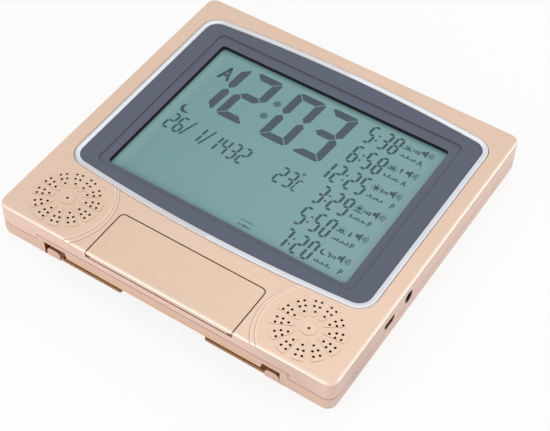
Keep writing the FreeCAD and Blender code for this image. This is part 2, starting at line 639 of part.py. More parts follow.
def front_shell():
    shell = case_wall.cut(rear_region(0)).cut(reveal)
    skirt = bowed_prism(-SKIRT_WALL, LEDGE_UNDER_Z, PLATE_UNDER_Z)
    well_half = LID_HALF_WIDTH + WELL_BLOCK_WALL
    well = block(-well_half, well_half, BOTTOM_Y + CASE_WALL, LID_TOP_Y + WELL_BLOCK_WALL,
                 WELL_FLOOR_Z - WELL_UNDER, PLATE_UNDER_Z)
    posts = [upright(x, y, CASE_POST_R, PARTING_Z, PLATE_UNDER_Z) for x, y in case_screws]
    rims = [speaker_rim(side * SPEAKER_X) for side in SIDES]
    relief = [piece for side in SIDES for piece in grille_relief(side * SPEAKER_X)]
    shell = joined([shell, skirt, well] + posts + rims + relief)

    opening = bowed_prism(0, LEDGE_TOP_Z, CASE_DEPTH + 1)
    through = bowed_prism(LEDGE_REACH, 0, CASE_DEPTH)
    lid_half = LID_HALF_WIDTH + LID_GAP
    lid_hole = rounded(-lid_half, lid_half, BOTTOM_Y - LID_GROOVE_OVERRUN, LID_TOP_Y + LID_GAP, LID_SEAT_Z,
                       CASE_DEPTH + 1, LID_CORNER_R + LID_GAP)
    lip_slot = block(-lid_half, lid_half, BOTTOM_Y - 1, LID_AXIS_Y, LID_LIP_BOTTOM_Z - LID_LIP_GAP,
                     CASE_DEPTH + 1)
    groove = along_x(-lid_half, lid_half, LID_AXIS_Y, LID_AXIS_Z, LID_GROOVE_R)
    pocket = rounded(-WELL_HALF_WIDTH, WELL_HALF_WIDTH, LID_AXIS_Y, WELL_TOP_Y, WELL_TOP_Z, CASE_DEPTH,
                     WELL_CORNER_R)
    hollow_half = well_half - CASE_WALL
    hollow_under = block(-hollow_half, hollow_half, LID_AXIS_Y + LID_GROOVE_R + WELL_UNDER,
                         LID_TOP_Y + WELL_BLOCK_WALL - CASE_WALL, 0, WELL_FLOOR_Z)
    pin_reach = lid_half + LID_PIN_LENGTH
    pins = along_x(-pin_reach, pin_reach, LID_AXIS_Y, LID_AXIS_Z, LID_PIN_R + LID_PIN_FIT)
    cuts = [opening, through, lid_hole, lip_slot, groove, pocket, hollow_under, pins]
    for x, y in key_spots():
        half_w, half_h = KEY_WIDTH / 2 + KEY_GAP, KEY_HEIGHT / 2 + KEY_GAP
        cuts.append(rounded(x - half_w, x + half_w, y - half_h, y + half_h,
                            WELL_FLOOR_Z - 1, WELL_TOP_Z + 1, KEY_CORNER_R + KEY_GAP))
    for x, y in case_screws:
        cuts.append(upright(x, y, CASE_SCREW_R, PARTING_Z - 1, PARTING_Z + CASE_SCREW_BITE))
    for side in SIDES:
        cuts += grille_holes(side * SPEAKER_X)
    cuts.append(along_x(HALF_WIDTH - 2 * CASE_WALL, HALF_WIDTH + CASE_WALL, JACK_Y, SOCKET_Z, JACK_HOLE_R))
    cuts.append(data_outline(-SOCKET_HOLE_GAP, HALF_WIDTH - 2 * CASE_WALL, HALF_WIDTH + CASE_WALL))
    shell = shell.cut(Part.makeCompound(cuts))

    standoffs = [upright(side * KEY_BOARD_POST_X, KEY_CENTRE_Y, BOARD_POST_R, SWITCH_BASE_Z, WELL_FLOOR_Z)
                 for side in SIDES]
    screw_tip_z = KEY_BOARD_UNDER_Z + SMALL_SCREW_REACH + SMALL_SCREW_TIP_GAP
    drills = [upright(side * KEY_BOARD_POST_X, KEY_CENTRE_Y, SMALL_SCREW_R, 0, screw_tip_z) for side in SIDES]
    return joined([shell] + standoffs).cut(Part.makeCompound(drills))


def data_outline(inset, x0, x1):
    """The small socket's section: a slot whose two rear corners are cut off."""
    half, up, cut = DATA_WIDTH / 2 - inset, DATA_HEIGHT / 2 - inset, DATA_CHAMFER
    section = [(-half, up), (half, up), (half, -up + cut), (half - cut, -up), (-half + cut, -up),
               (-half, -up + cut)]
    return prism([Vector(x0, DATA_Y + y, SOCKET_Z + z) for y, z in section], Vector(x1 - x0, 0, 0))


# ---- Rear shell -----------------------------------------------------------------------------------------

def leg_notch(side, grow):
    """The taller end of the rebate, in which the leg's hub turns."""
    outer, inner, slope = NOTCH_OUTER_X + grow, NOTCH_INNER_X[side] - grow, NOTCH_SLOPE
    roof = NOTCH_ROOF_Z + grow
    section = [(outer, -1), (outer, roof), (inner + slope, roof), (inner, REBATE_ROOF_Z), (inner, -1)]
    points = [Vector(side * x, BOTTOM_Y - 1, z) for x, z in section]
    return prism(points, Vector(0, LEG_WALL_Y + grow - BOTTOM_Y + 1, 0))


def keyhole(side):
    """Head hole with a slot above it, so the clock drops on to the wall screw."""
    x, y = side * KEYHOLE_X, HALF_HEIGHT - KEYHOLE_EDGE_Y
    head = upright(x, y, KEYHOLE_HEAD_R, -1, CASE_WALL)
    slot = block(x - KEYHOLE_SLOT_R, x + KEYHOLE_SLOT_R, y, y + KEYHOLE_LENGTH, -1, CASE_WALL)
    end = upright(x, y + KEYHOLE_LENGTH, KEYHOLE_SLOT_R, -1, CASE_WALL)
    half = KEYHOLE_HEAD_R + KEYHOLE_POCKET_ROOM
    pocket = block(x - half, x + half, y - half, y + KEYHOLE_LENGTH + half, CASE_WALL, KEYHOLE_POCKET_DEPTH)
    return joined([head, slot, end, pocket])


def keyhole_cover(side):
    x, y = side * KEYHOLE_X, HALF_HEIGHT - KEYHOLE_EDGE_Y
    half = KEYHOLE_HEAD_R + KEYHOLE_POCKET_ROOM + KEYHOLE_POCKET_WALL
    return block(x - half, x + half, y - half, y + KEYHOLE_LENGTH + half,
                 CASE_WALL / 2, KEYHOLE_POCKET_DEPTH + KEYHOLE_POCKET_WALL)


def battery_bay():
    low_y, high_y = BAY_LOW_Y - BAY_WALL, BAY_HIGH_Y + BAY_WALL
    half = BAY_HALF_LENGTH + BAY_WALL
    outer = block(-half, half, low_y, high_y, CASE_WALL / 2, BAY_ROOF_Z + BAY_ROOF)
    long_edges = [e for e in edges_along(outer, Vector(1, 0, 0)) if e.BoundBox.ZMin > CASE_DEPTH / 2]
    return outer.makeFillet(BAY_ROUND_R, long_edges)


def rear_shell():
    shell = case_wall.common(rear_region(0))
    rebate = block(-NOTCH_INNER_X[-1] - 1, NOTCH_INNER_X[1] + 1, BOTTOM_Y, REBATE_BACK_Y + REBATE_WALL, 0,
                   REBATE_ROOF_Z + REBATE_WALL)
    adds = [rebate.common(blank)]
    for side in SIDES:
        adds.append(leg_notch(side, LEG_WALL).common(blank))
        adds.append(along_y(side * LEG_PIVOT_X, LEG_WALL_Y, LEG_BOSS_END_Y, LEG_PIVOT_Z, LEG_BOSS_R))
        adds.append(keyhole_cover(side))
    adds.append(battery_bay())
    for x, y in case_screws:
        adds.append(upright(x, y, CASE_WELL_R + CASE_WALL, 0, PARTING_Z - CASE_POST_GAP).common(blank))
    for post_y in (DATA_Y, JACK_Y):
        post_x = HALF_WIDTH - CASE_WALL - SOCKET_BOARD_WIDTH / 2
        adds.append(upright(post_x, post_y, BOARD_POST_R, CASE_WALL / 2,
                            SOCKET_BOARD_TOP_Z - SOCKET_BOARD_THICKNESS))
    shell = joined([shell] + adds)

    cuts = [block(-NOTCH_INNER_X[-1], NOTCH_INNER_X[1], BOTTOM_Y - 1, REBATE_BACK_Y, -1, REBATE_ROOF_Z)]
    for side in SIDES:
        cuts.append(leg_notch(side, 0))
        cuts.append(along_y(side * LEG_PIVOT_X, LEG_WALL_Y - 1, LEG_BOSS_END_Y + 1, LEG_PIVOT_Z,
                            LEG_SHAFT_R + LEG_SHAFT_FIT))
        cuts.append(along_y(side * LEG_PIVOT_X, LEG_BOSS_END_Y, LEG_BOSS_END_Y + 2 * LEG_WASHER, LEG_PIVOT_Z,
                            LEG_WASHER_R + LEG_WASHER_GAP))
        cuts.append(keyhole(side))
    cuts.append(block(-BAY_HALF_LENGTH, BAY_HALF_LENGTH, BAY_LOW_Y, BAY_HIGH_Y, 0, CELL_Z))
    cuts.append(bay_hollow())
    cuts.append(rounded(-DOOR_HALF_LENGTH - DOOR_GAP, DOOR_HALF_LENGTH + DOOR_GAP, DOOR_LOW_Y - DOOR_GAP,
                        DOOR_HIGH_Y + DOOR_GAP, -1, DOOR_SEAT_Z, DOOR_CORNER_R + DOOR_GAP))
    tab_half = DOOR_TAB_WIDTH / 2 + DOOR_GAP
    cuts.append(block(-tab_half, tab_half, REBATE_BACK_Y - 1, BAY_LOW_Y, -1, DOOR_SEAT_Z))
    for side in SIDES:
        half = DOOR_HOOK_WIDTH / 2 + DOOR_GAP
        x = side * DOOR_HOOK_X
        hook_top = CASE_WALL + 2 * DOOR_HOOK + DOOR_GAP
        cuts.append(block(x - half, x + half, BAY_HIGH_Y - 1, BAY_HIGH_Y + BAY_WALL + 1, CASE_WALL, hook_top))
        cuts.append(block(x - half, x + half, BAY_HIGH_Y - 1, DOOR_HIGH_Y + DOOR_GAP, DOOR_THICKNESS,
                          hook_top))
    for x, y in case_screws:
        cuts.append(upright(x, y, CASE_WELL_R, -1, CASE_WELL_DEPTH))
        cuts.append(upright(x, y, CASE_SCREW_R + CASE_POST_GAP, 0, PARTING_Z + 1))
    return shell.cut(Part.makeCompound(cuts))


def bay_hollow():
    """The bay's upper half, which follows the outer cells so that its walls stay even."""
    hollow = block(-BAY_HALF_LENGTH, BAY_HALF_LENGTH, BAY_LOW_Y, BAY_HIGH_Y, CELL_Z - 1, BAY_ROOF_Z)
    top_edges = [e for e in edges_along(hollow, Vector(1, 0, 0)) if e.BoundBox.ZMin > BAY_ROOF_Z - 1]
    return hollow.makeFillet(BAY_ROUND_R - BAY_WALL, top_edges)


# ---- Display --------------------------------------------------------------------------------------------

def trim_ring():
    """Low-domed ring: it rises from its outer edge to a crest and falls again to the bezel."""
    outer_z = CASE_DEPTH - RING_OUTER_DROP
    crest, inner = RING_GAP + RING_CREST_INSET, RING_GAP + RING_WIDTH
    base = bowed_prism(RING_GAP, LEDGE_TOP_Z, outer_z)
    rise = Part.makeLoft([bowed_wire(RING_GAP, outer_z), bowed_wire(crest, CASE_DEPTH)], True, True)
    dip = Part.makeLoft([bowed_wire(inner, CASE_DEPTH - RING_INNER_DROP), bowed_wire(crest, CASE_DEPTH)],
                        True, True)
    return base.fuse(rise).cut(dip).cut(bowed_prism(inner, 0, CASE_DEPTH))


def centred(width, height, y, z0, z1, radius):
    return rounded(-width / 2, width / 2, y - height / 2, y + height / 2, z0, z1, radius)


def display_bezel():
    inset = RING_GAP + RING_WIDTH + BEZEL_FIT
    foot = bowed_prism(inset, LEDGE_TOP_Z, BEZEL_UNDER_Z).cut(bowed_prism(inset + BEZEL_FOOT, 0, CASE_DEPTH))
    frame_low = GLASS_TOP_Z + GLASS_SEAT_GAP
    frame = centred(WINDOW_WIDTH + 2 * WINDOW_WALL, WINDOW_HEIGHT + 2 * WINDOW_WALL, WINDOW_Y, frame_low,
                    BEZEL_UNDER_Z, WINDOW_CORNER_R + WINDOW_WALL)
    bosses = [upright(side * TRAY_EAR_X, y, BOARD_POST_R, TRAY_TOP_Z, BEZEL_UNDER_Z)
              for side in SIDES for y in TRAY_EAR_YS]
    panel = joined([bowed_prism(inset, BEZEL_UNDER_Z, BEZEL_TOP_Z), foot, frame] + bosses)
    step_z = BEZEL_TOP_Z - BEZEL_STEP_DEPTH
    step = centred(BEZEL_STEP_WIDTH, BEZEL_STEP_HEIGHT, OPENING_CENTRE_Y + BEZEL_STEP_LIFT, step_z,
                   CASE_DEPTH, BEZEL_STEP_R)
    window = centred(WINDOW_WIDTH, WINDOW_HEIGHT, WINDOW_Y, 0, CASE_DEPTH, WINDOW_CORNER_R)
    cuts = [step, window]
    for side in SIDES:
        for y in TRAY_EAR_YS:
            cuts.append(upright(side * TRAY_EAR_X, y, SMALL_SCREW_R, 0, TRAY_TOP_Z + SMALL_SCREW_REACH))
    panel = panel.cut(Part.makeCompound(cuts))
    rim = [e for e in edges_at_z(panel, step_z) if e.BoundBox.XLength <= WINDOW_WIDTH + 0.1]
    return panel.makeChamfer(WINDOW_CHAMFER, rim)


def lcd_glass():
    half, joint_z = GLASS_HALF_WIDTH, GLASS_TOP_Z - GLASS_SHEET
    front = block(-half, half, GLASS_BOTTOM_Y, GLASS_TOP_Y, joint_z, GLASS_TOP_Z)
    back = block(-half, half, GLASS_BOTTOM_Y, GLASS_TOP_Y - GLASS_CONTACT_WIDTH, GLASS_UNDER_Z, joint_z)
    return front.fuse(back).removeSplitter()


def light_guide():
    top = GLASS_UNDER_Z - GLASS_SEAT_GAP
    low_y = GLASS_BOTTOM_Y + GLASS_BOTTOM_BORDER / 2
    return block(-GLASS_HALF_WIDTH, GLASS_HALF_WIDTH, low_y, GLASS_TOP_Y - GLASS_CONTACT_WIDTH,
                 top - GUIDE_THICKNESS, top)


def lcd_tray():
    half, top_y = GLASS_HALF_WIDTH + TRAY_FIT, GLASS_TOP_Y + TRAY_FIT
    low_y = GLASS_BOTTOM_Y + GLASS_BOTTOM_BORDER / 2
    pieces = [block(-half - TRAY_WALL, half + TRAY_WALL, low_y, top_y + TRAY_WALL, TRAY_UNDER_Z, GLASS_TOP_Z)]
    for side in SIDES:
        for y in TRAY_EAR_YS:
            x0, x1 = sorted((side * half, side * (half + TRAY_WALL + TRAY_EAR_LENGTH)))
            y0, y1 = y - TRAY_EAR_WIDTH / 2, y + TRAY_EAR_WIDTH / 2
            pieces.append(block(x0, x1, y0, y1, TRAY_UNDER_Z, TRAY_TOP_Z))
        for y in TRAY_POST_YS:
            pieces.append(upright(side * TRAY_POST_X, y, BOARD_POST_R, BOARD_TOP_Z, TRAY_UNDER_Z))
    tray = joined(pieces)
    zebra_y = GLASS_TOP_Y - GLASS_CONTACT_WIDTH / 2
    slot_half, slot_side = ZEBRA_LENGTH / 2 + TRAY_FIT, ZEBRA_WIDTH / 2 + TRAY_FIT
    cuts = [block(-half, half, low_y - 1, top_y, TRAY_TOP_Z, CASE_DEPTH),
            block(-slot_half, slot_half, zebra_y - slot_side, zebra_y + slot_side, 0, CASE_DEPTH)]
    for side in SIDES:
        for y in TRAY_EAR_YS:
            cuts.append(upright(side * TRAY_EAR_X, y, SMALL_SCREW_HOLE_R, 0, CASE_DEPTH))
        for y in TRAY_POST_YS:
            cuts.append(upright(side * TRAY_POST_X, y, SMALL_SCREW_R, 0, TRAY_TOP_Z))
    return tray.cut(Part.makeCompound(cuts))


def zebra_strip():
    y = GLASS_TOP_Y - GLASS_CONTACT_WIDTH / 2
    return block(-ZEBRA_LENGTH / 2, ZEBRA_LENGTH / 2, y - ZEBRA_WIDTH / 2, y + ZEBRA_WIDTH / 2,
                 BOARD_TOP_Z, GLASS_TOP_Z - GLASS_SHEET)


def small_screw(x, y, seat_z):
    """Pan head under seat_z, shank upwards."""
    head = upright(x, y, SMALL_SCREW_HEAD_R, seat_z - SMALL_SCREW_HEAD, seat_z)
    return head.fuse(upright(x, y, SMALL_SCREW_R, seat_z, seat_z + SMALL_SCREW_REACH)).removeSplitter()


def tray_screws():
    return Part.makeCompound([small_screw(side * TRAY_EAR_X, y, TRAY_UNDER_Z)
                              for side in SIDES for y in TRAY_EAR_YS])


# ---- Boards ---------------------------------------------------------------------------------------------

def main_board():
    top_y = GLASS_TOP_Y
    board = block(-MAIN_BOARD_WIDTH / 2, MAIN_BOARD_WIDTH / 2, top_y - MAIN_BOARD_HEIGHT, top_y,
                  BOARD_UNDER_Z, BOARD_TOP_Z)
    holes = [upright(side * TRAY_POST_X, y, SMALL_SCREW_HOLE_R, 0, CASE_DEPTH)
             for side in SIDES for y in TRAY_POST_YS]
    return board.cut(Part.makeCompound(holes))


def main_board_parts():
    """Processor, sound chip, memory, crystal and capacitors on the board's rear face."""
    parts = []
    for x, down, width, height, depth in BOARD_CHIPS:
        y = GLASS_TOP_Y - down
        parts.append(block(x - width / 2, x + width / 2, y - height / 2, y + height / 2,
                           BOARD_UNDER_Z - depth, BOARD_UNDER_Z))
    for x, down, radius, depth in BOARD_CANS:
        parts.append(upright(x, GLASS_TOP_Y - down, radius, BOARD_UNDER_Z - depth, BOARD_UNDER_Z))
    return Part.makeCompound(parts)


def keypad_board():
    half = WELL_HALF_WIDTH + KEY_BOARD_OVERHANG
    low_y = LID_AXIS_Y + LID_GROOVE_R + WELL_UNDER + LID_GAP
    board = block(-half, half, low_y, WELL_TOP_Y, KEY_BOARD_UNDER_Z, SWITCH_BASE_Z)
    holes = [upright(side * KEY_BOARD_POST_X, KEY_CENTRE_Y, SMALL_SCREW_HOLE_R, 0, CASE_DEPTH)
             for side in SIDES]
    return board.cut(Part.makeCompound(holes))


def key_switches():
    switches = []
    for x, y in key_spots():
        half = SWITCH_SIDE / 2
        body = block(x - half, x + half, y - half, y + half, SWITCH_BASE_Z, SWITCH_BASE_Z + SWITCH_HEIGHT)
        bore = upright(x, y, KEY_PLUNGER_R + KEY_PLUNGER_FIT, SWITCH_BASE_Z, CASE_DEPTH)
        switches.append(body.cut(bore))
    return Part.makeCompound(switches)


def key(x, y):
    """Dished cap through the well's floor, flange under it, plunger into its switch."""
    half_w, half_h = KEY_WIDTH / 2, KEY_HEIGHT / 2
    flange_top = WELL_FLOOR_Z - KEY_FLANGE_GAP
    flange_low = flange_top - KEY_FLANGE
    cap = rounded(x - half_w, x + half_w, y - half_h, y + half_h, flange_low, KEY_TOP_Z, KEY_CORNER_R)
    cap = cap.makeFillet(KEY_FLANGE, edges_at_z(cap, KEY_TOP_Z))
    reach = KEY_GAP + KEY_FLANGE_REACH
    flange = rounded(x - half_w - reach, x + half_w + reach, y - half_h - reach, y + half_h + reach,
                     flange_low, flange_top, KEY_CORNER_R + reach)
    plunger = upright(x, y, KEY_PLUNGER_R, flange_low - KEY_PLUNGER_LENGTH, flange_low)
    dish_r = (half_w - KEY_DISH_RIM_X) ** 2 / (2 * KEY_DISH_DEPTH) + KEY_DISH_DEPTH / 2
    dish = along_y(x, y - half_h + KEY_DISH_RIM_Y, y + half_h - KEY_DISH_RIM_Y,
                   KEY_TOP_Z - KEY_DISH_DEPTH + dish_r, dish_r)
    return joined([cap, flange, plunger]).cut(dish)


def board_screws():
    screws = [small_screw(side * TRAY_POST_X, y, BOARD_UNDER_Z) for side in SIDES for y in TRAY_POST_YS]
    screws += [small_screw(side * KEY_BOARD_POST_X, KEY_CENTRE_Y, KEY_BOARD_UNDER_Z) for side in SIDES]
    return Part.makeCompound(screws)


# ---- Lid ------------------------------------------------------------------------------------------------

def keypad_lid():
    """Flat panel that wraps over the case's bottom front edge and hangs on two moulded pins."""
    half, lip_z = LID_HALF_WIDTH, LID_LIP_BOTTOM_Z
    panel = rounded(-half, half, BOTTOM_Y, LID_TOP_Y, lip_z, PANEL_Z, LID_CORNER_R)
    low_corners = block(-half, half, BOTTOM_Y, BOTTOM_Y + 2 * LID_CORNER_R, lip_z, PANEL_Z)
    lid = panel.fuse(low_corners).removeSplitter()
    front_edge = [e for e in edges_at_z(lid, PANEL_Z) if e.BoundBox.YMax < BOTTOM_Y + 0.01]
    lid = lid.makeFillet(FRONT_EDGE_R, front_edge)
    lid = lid.cut(block(-half - 1, half + 1, BOTTOM_Y + LID_THICKNESS, LID_TOP_Y + 1, 0, LID_UNDER_Z))
    notches = []
    ears = []
    for side in SIDES:
        x0, x1 = sorted((side * (half - LID_NOTCH), side * half))
        notches.append(block(x0, x1, BOTTOM_Y - 1, LID_AXIS_Y + LID_EAR_R, lip_z - 1,
                             lip_z + LID_NOTCH_HEIGHT))
        ears.append(along_x(x0, x1, LID_AXIS_Y, LID_AXIS_Z, LID_EAR_R))
        ears.append(block(x0, x1, LID_AXIS_Y - LID_EAR_R, LID_AXIS_Y + LID_EAR_R, LID_AXIS_Z, LID_UNDER_Z))
        tip0, tip1 = sorted((side * (half - LID_NOTCH), side * (half + LID_PIN_LENGTH)))
        ears.append(along_x(tip0, tip1, LID_AXIS_Y, LID_AXIS_Z, LID_PIN_R))
    return joined([lid.cut(Part.makeCompound(notches))] + ears)


# ---- Speakers -------------------------------------------------------------------------------------------

def turned(points, centre_x):
    """A solid of revolution about a speaker's axis, from its (radius, z) half section."""
    wire = Part.makePolygon([Vector(centre_x + r, SPEAKER_Y, z) for r, z in points + points[:1]])
    return Part.Face(wire).revolve(Vector(centre_x, SPEAKER_Y, 0), Vector(0, 0, 1), 360)


GASKET_LOW_Z = PLATE_UNDER_Z - SPEAKER_GASKET
FLANGE_LOW_Z = GASKET_LOW_Z - SPEAKER_FLANGE
NECK_LOW_Z = FLANGE_LOW_Z - SPEAKER_NECK_DEPTH


def speaker_gasket(x):
    ring = upright(x, SPEAKER_Y, SPEAKER_R, GASKET_LOW_Z, PLATE_UNDER_Z)
    return ring.cut(upright(x, SPEAKER_Y, SPEAKER_R - SPEAKER_GASKET_WIDTH, GASKET_LOW_Z, PLATE_UNDER_Z))


def speaker_basket(x):
    rim = SPEAKER_R - SPEAKER_GASKET_WIDTH
    hole = CONE_COIL_R + 1
    floor_z = NECK_LOW_Z + SPEAKER_SHEET
    section = [(rim, GASKET_LOW_Z), (SPEAKER_R, GASKET_LOW_Z), (SPEAKER_R, FLANGE_LOW_Z),
               (rim + SPEAKER_SHEET, FLANGE_LOW_Z), (SPEAKER_NECK_R, NECK_LOW_Z), (hole, NECK_LOW_Z),
               (hole, floor_z), (SPEAKER_NECK_R - SPEAKER_SHEET, floor_z), (rim, FLANGE_LOW_Z)]
    return turned(section, x)


def speaker_cone(x):
    """Paper cone from the rim down to its dust dome, with the coil former behind."""
    rim_r, rim_z = SPEAKER_R - SPEAKER_GASKET_WIDTH - CONE_EDGE_GAP, GASKET_LOW_Z
    low_z = rim_z - CONE_DEPTH
    dome_z, shoulder_z, shoulder_r = low_z + CONE_DOME_RISE, low_z + CONE_DOME_SHOULDER, CONE_DOME_R * 0.6
    coil_r, coil_low_z = CONE_COIL_R + CONE_COIL_GAP, NECK_LOW_Z + CONE_COIL_GAP
    front = [(rim_r, rim_z), (CONE_R, rim_z + CONE_SHEET / 2), (CONE_DOME_R, low_z), (shoulder_r, shoulder_z),
             (0, dome_z)]
    back = [(0, dome_z - CONE_SHEET), (shoulder_r, shoulder_z - CONE_SHEET), (coil_r, low_z - CONE_SHEET),
            (coil_r, coil_low_z), (coil_r + CONE_SHEET, coil_low_z),
            (coil_r + CONE_SHEET, low_z - CONE_SHEET), (CONE_R, rim_z - CONE_SHEET),
            (rim_r, rim_z - CONE_SHEET)]
    return turned(front + back, x)


def speaker_magnet(x):
    low = NECK_LOW_Z - SPEAKER_MAGNET_DEPTH
    magnet = upright(x, SPEAKER_Y, SPEAKER_MAGNET_R, low, NECK_LOW_Z)
    pole = upright(x, SPEAKER_Y, CONE_COIL_R - CONE_COIL_GAP, NECK_LOW_Z, NECK_LOW_Z + MAGNET_POLE_LENGTH)
    return magnet.fuse(pole).removeSplitter()


# ---- Legs -----------------------------------------------------------------------------------------------

def leg():
    """The left leg, folded: hub in its notch, blade along the rebate, stub shaft into the case."""
    half_w, half_h = LEG_HUB_WIDTH / 2, LEG_HUB_HEIGHT / 2
    x, z = -LEG_PIVOT_X, LEG_PIVOT_Z
    hub = block(x - half_w, x + half_w, LEG_HUB_FRONT_Y, LEG_BACK_Y, z - half_h, z + half_h)
    hub = hub.makeFillet(LEG_HUB_CORNER_R, edges_along(hub, Vector(0, 1, 0)))
    hub = hub.common(blank)
    tip = -LEG_TIP_X
    blade = block(x, tip, LEG_FRONT_Y, LEG_BACK_Y, LEG_BOTTOM_Z, LEG_BOTTOM_Z + LEG_THICKNESS)
    tip_edges = [e for e in edges_along(blade, Vector(0, 0, 1)) if e.BoundBox.XMin > tip - 0.01]
    blade = blade.makeFillet(LEG_TIP_R, tip_edges)
    rib_y = (LEG_FRONT_Y + LEG_BACK_Y) / 2
    top_z = LEG_BOTTOM_Z + LEG_THICKNESS
    rib_points = [(x, top_z - 1), (x, top_z + LEG_RIB_HEIGHT), (tip - LEG_RIB_RUNOUT, top_z + LEG_RIB_HEIGHT),
                  (tip - LEG_THICKNESS, top_z - 1)]
    rib = prism([Vector(px, rib_y - LEG_RIB / 2, pz) for px, pz in rib_points], Vector(0, LEG_RIB, 0))
    shaft = along_y(x, LEG_BACK_Y - 1, LEG_BOSS_END_Y, z, LEG_SHAFT_R)
    solid = joined([hub, blade, rib, shaft])
    hole = along_y(x, LEG_BOSS_END_Y - LEG_SCREW_LENGTH, LEG_BOSS_END_Y + 1, z, LEG_SCREW_R)
    return solid.cut(hole)


def leg_screw():
    x, z = -LEG_PIVOT_X, LEG_PIVOT_Z
    seat = LEG_BOSS_END_Y + LEG_WALL_GAP
    washer = along_y(x, seat, seat + LEG_WASHER, z, LEG_WASHER_R)
    head = along_y(x, seat + LEG_WASHER, seat + LEG_WASHER + LEG_SCREW_HEAD, z, LEG_SCREW_HEAD_R)
    shank = along_y(x, LEG_BOSS_END_Y - LEG_SCREW_LENGTH, seat + LEG_WASHER, z, LEG_SCREW_R)
    return joined([washer, head, shank])


# ---- Batteries ------------------------------------------------------------------------------------------

def cell_ys():
    return [BAY_CENTRE_Y + (n - (CELL_COUNT - 1) / 2) * CELL_PITCH for n in range(CELL_COUNT)]


def battery_cells():
    cells = []
    half = (CELL_LENGTH + CELL_NUB) / 2
    for n, y in enumerate(cell_ys()):
        way = 1 if n % 2 else -1
        can0, can1 = sorted((-way * half, way * (half - CELL_NUB)))
        nub0, nub1 = sorted((way * (half - CELL_NUB), way * half))
        can = along_x(can0, can1, y, CELL_Z, CELL_R)
        cells.append(can.fuse(along_x(nub0, nub1, y, CELL_Z, CELL_NUB_R)).removeSplitter())
    return Part.makeCompound(cells)


def battery_contacts():
    """Bent leaf contacts, one at each end of each cell."""
    contacts = []
    wall_x = BAY_HALF_LENGTH
    cell_x = (CELL_LENGTH + CELL_NUB) / 2
    sheet = CONTACT_SHEET
    low, high = CELL_Z - CONTACT_HEIGHT / 2, CELL_Z + CONTACT_HEIGHT / 2
    nose_x, nose = cell_x + CONTACT_CELL_GAP, CONTACT_NOSE / 2
    leaf = [(wall_x, low), (wall_x, high), (wall_x - sheet, high), (nose_x, CELL_Z + nose),
            (nose_x, CELL_Z - nose), (nose_x + 2 * sheet, CELL_Z - nose), (nose_x + 2 * sheet, CELL_Z),
            (wall_x - sheet, high - 2 * sheet), (wall_x - sheet, low)]
    for y in cell_ys():
        for side in SIDES:
            points = [Vector(side * x, y - CONTACT_WIDTH / 2, z) for x, z in leaf]
            contacts.append(prism(points, Vector(0, CONTACT_WIDTH, 0)))
    return Part.makeCompound(contacts)


def battery_door():
    plate = rounded(-DOOR_HALF_LENGTH, DOOR_HALF_LENGTH, DOOR_LOW_Y, DOOR_HIGH_Y, 0, DOOR_THICKNESS,
                    DOOR_CORNER_R)
    tab_half = DOOR_TAB_WIDTH / 2
    tab_y = DOOR_LOW_Y - DOOR_TAB_REACH
    tab = rounded(-tab_half, tab_half, tab_y, DOOR_LOW_Y + 2 * DOOR_TAB_CORNER_R, DOOR_GAP, DOOR_THICKNESS,
                  DOOR_TAB_CORNER_R)
    curl = block(-tab_half, tab_half, tab_y + 1, tab_y + 1 + DOOR_TAB_CURL_SHEET, DOOR_THICKNESS / 2,
                 DOOR_THICKNESS + DOOR_TAB_CURL)
    pieces = [plate, tab, curl]
    for side in SIDES:
        x = side * DOOR_HOOK_X
        half = DOOR_HOOK_WIDTH / 2
        low = CASE_WALL + DOOR_SEAT_GAP
        high, root_y = low + DOOR_HOOK, BAY_HIGH_Y - DOOR_HOOK
        root = block(x - half, x + half, root_y, BAY_HIGH_Y, DOOR_THICKNESS / 2, high)
        hook = block(x - half, x + half, root_y, DOOR_HIGH_Y + DOOR_HOOK_REACH, low, high)
        pieces += [root, hook]
    door = joined(pieces)
    grips = []
    for n in range(DOOR_GRIPS):
        y = DOOR_LOW_Y + DOOR_GRIP_EDGE + n * DOOR_GRIP_PITCH
        grips.append(block(-DOOR_GRIP_LENGTH / 2, DOOR_GRIP_LENGTH / 2, y - DOOR_GRIP_WIDTH / 2,
                           y + DOOR_GRIP_WIDTH / 2, -1, DOOR_GRIP_DEPTH))
    return door.cut(Part.makeCompound(grips))


# ---- Case screws and sockets ------------------------------------------------------------------------------

def case_screw_group():
    screws = []
    half, thin = CASE_SCREW_SLOT / 2, CASE_SCREW_SLOT_WIDTH / 2
    for x, y in case_screws:
        head_top = CASE_WELL_DEPTH
        slot_z = head_top - CASE_SCREW_HEAD + CASE_SCREW_SLOT_DEPTH
        head = upright(x, y, CASE_SCREW_HEAD_R, head_top - CASE_SCREW_HEAD, head_top)
        shank = upright(x, y, CASE_SCREW_R, head_top, PARTING_Z + CASE_SCREW_BITE - 1)
        cross = block(x - half, x + half, y - thin, y + thin, 0, slot_z)
        cross = cross.fuse(block(x - thin, x + thin, y - half, y + half, 0, slot_z))
        screws.append(head.fuse(shank).removeSplitter().cut(cross))
    return Part.makeCompound(screws)


def power_jack():
    x1, mouth = SOCKET_FACE_X, SOCKET_NOSE_X
    half = JACK_BODY_WIDTH / 2
    body = block(x1 - JACK_BODY_LENGTH, x1, JACK_Y - half, JACK_Y + half, SOCKET_Z - JACK_BODY_HEIGHT / 2,
                 SOCKET_Z + JACK_BODY_HEIGHT / 2)
    body = body.fuse(along_x(x1 - 1, mouth, JACK_Y, SOCKET_Z, JACK_NOSE_R))
    body = body.cut(along_x(mouth - JACK_BORE_LENGTH, mouth + 1, JACK_Y, SOCKET_Z, JACK_BORE_R))
    pin = along_x(mouth - JACK_BORE_LENGTH - 1, mouth - JACK_PIN_BACKSET, JACK_Y, SOCKET_Z, JACK_PIN_R)
    return body.fuse(pin).removeSplitter()


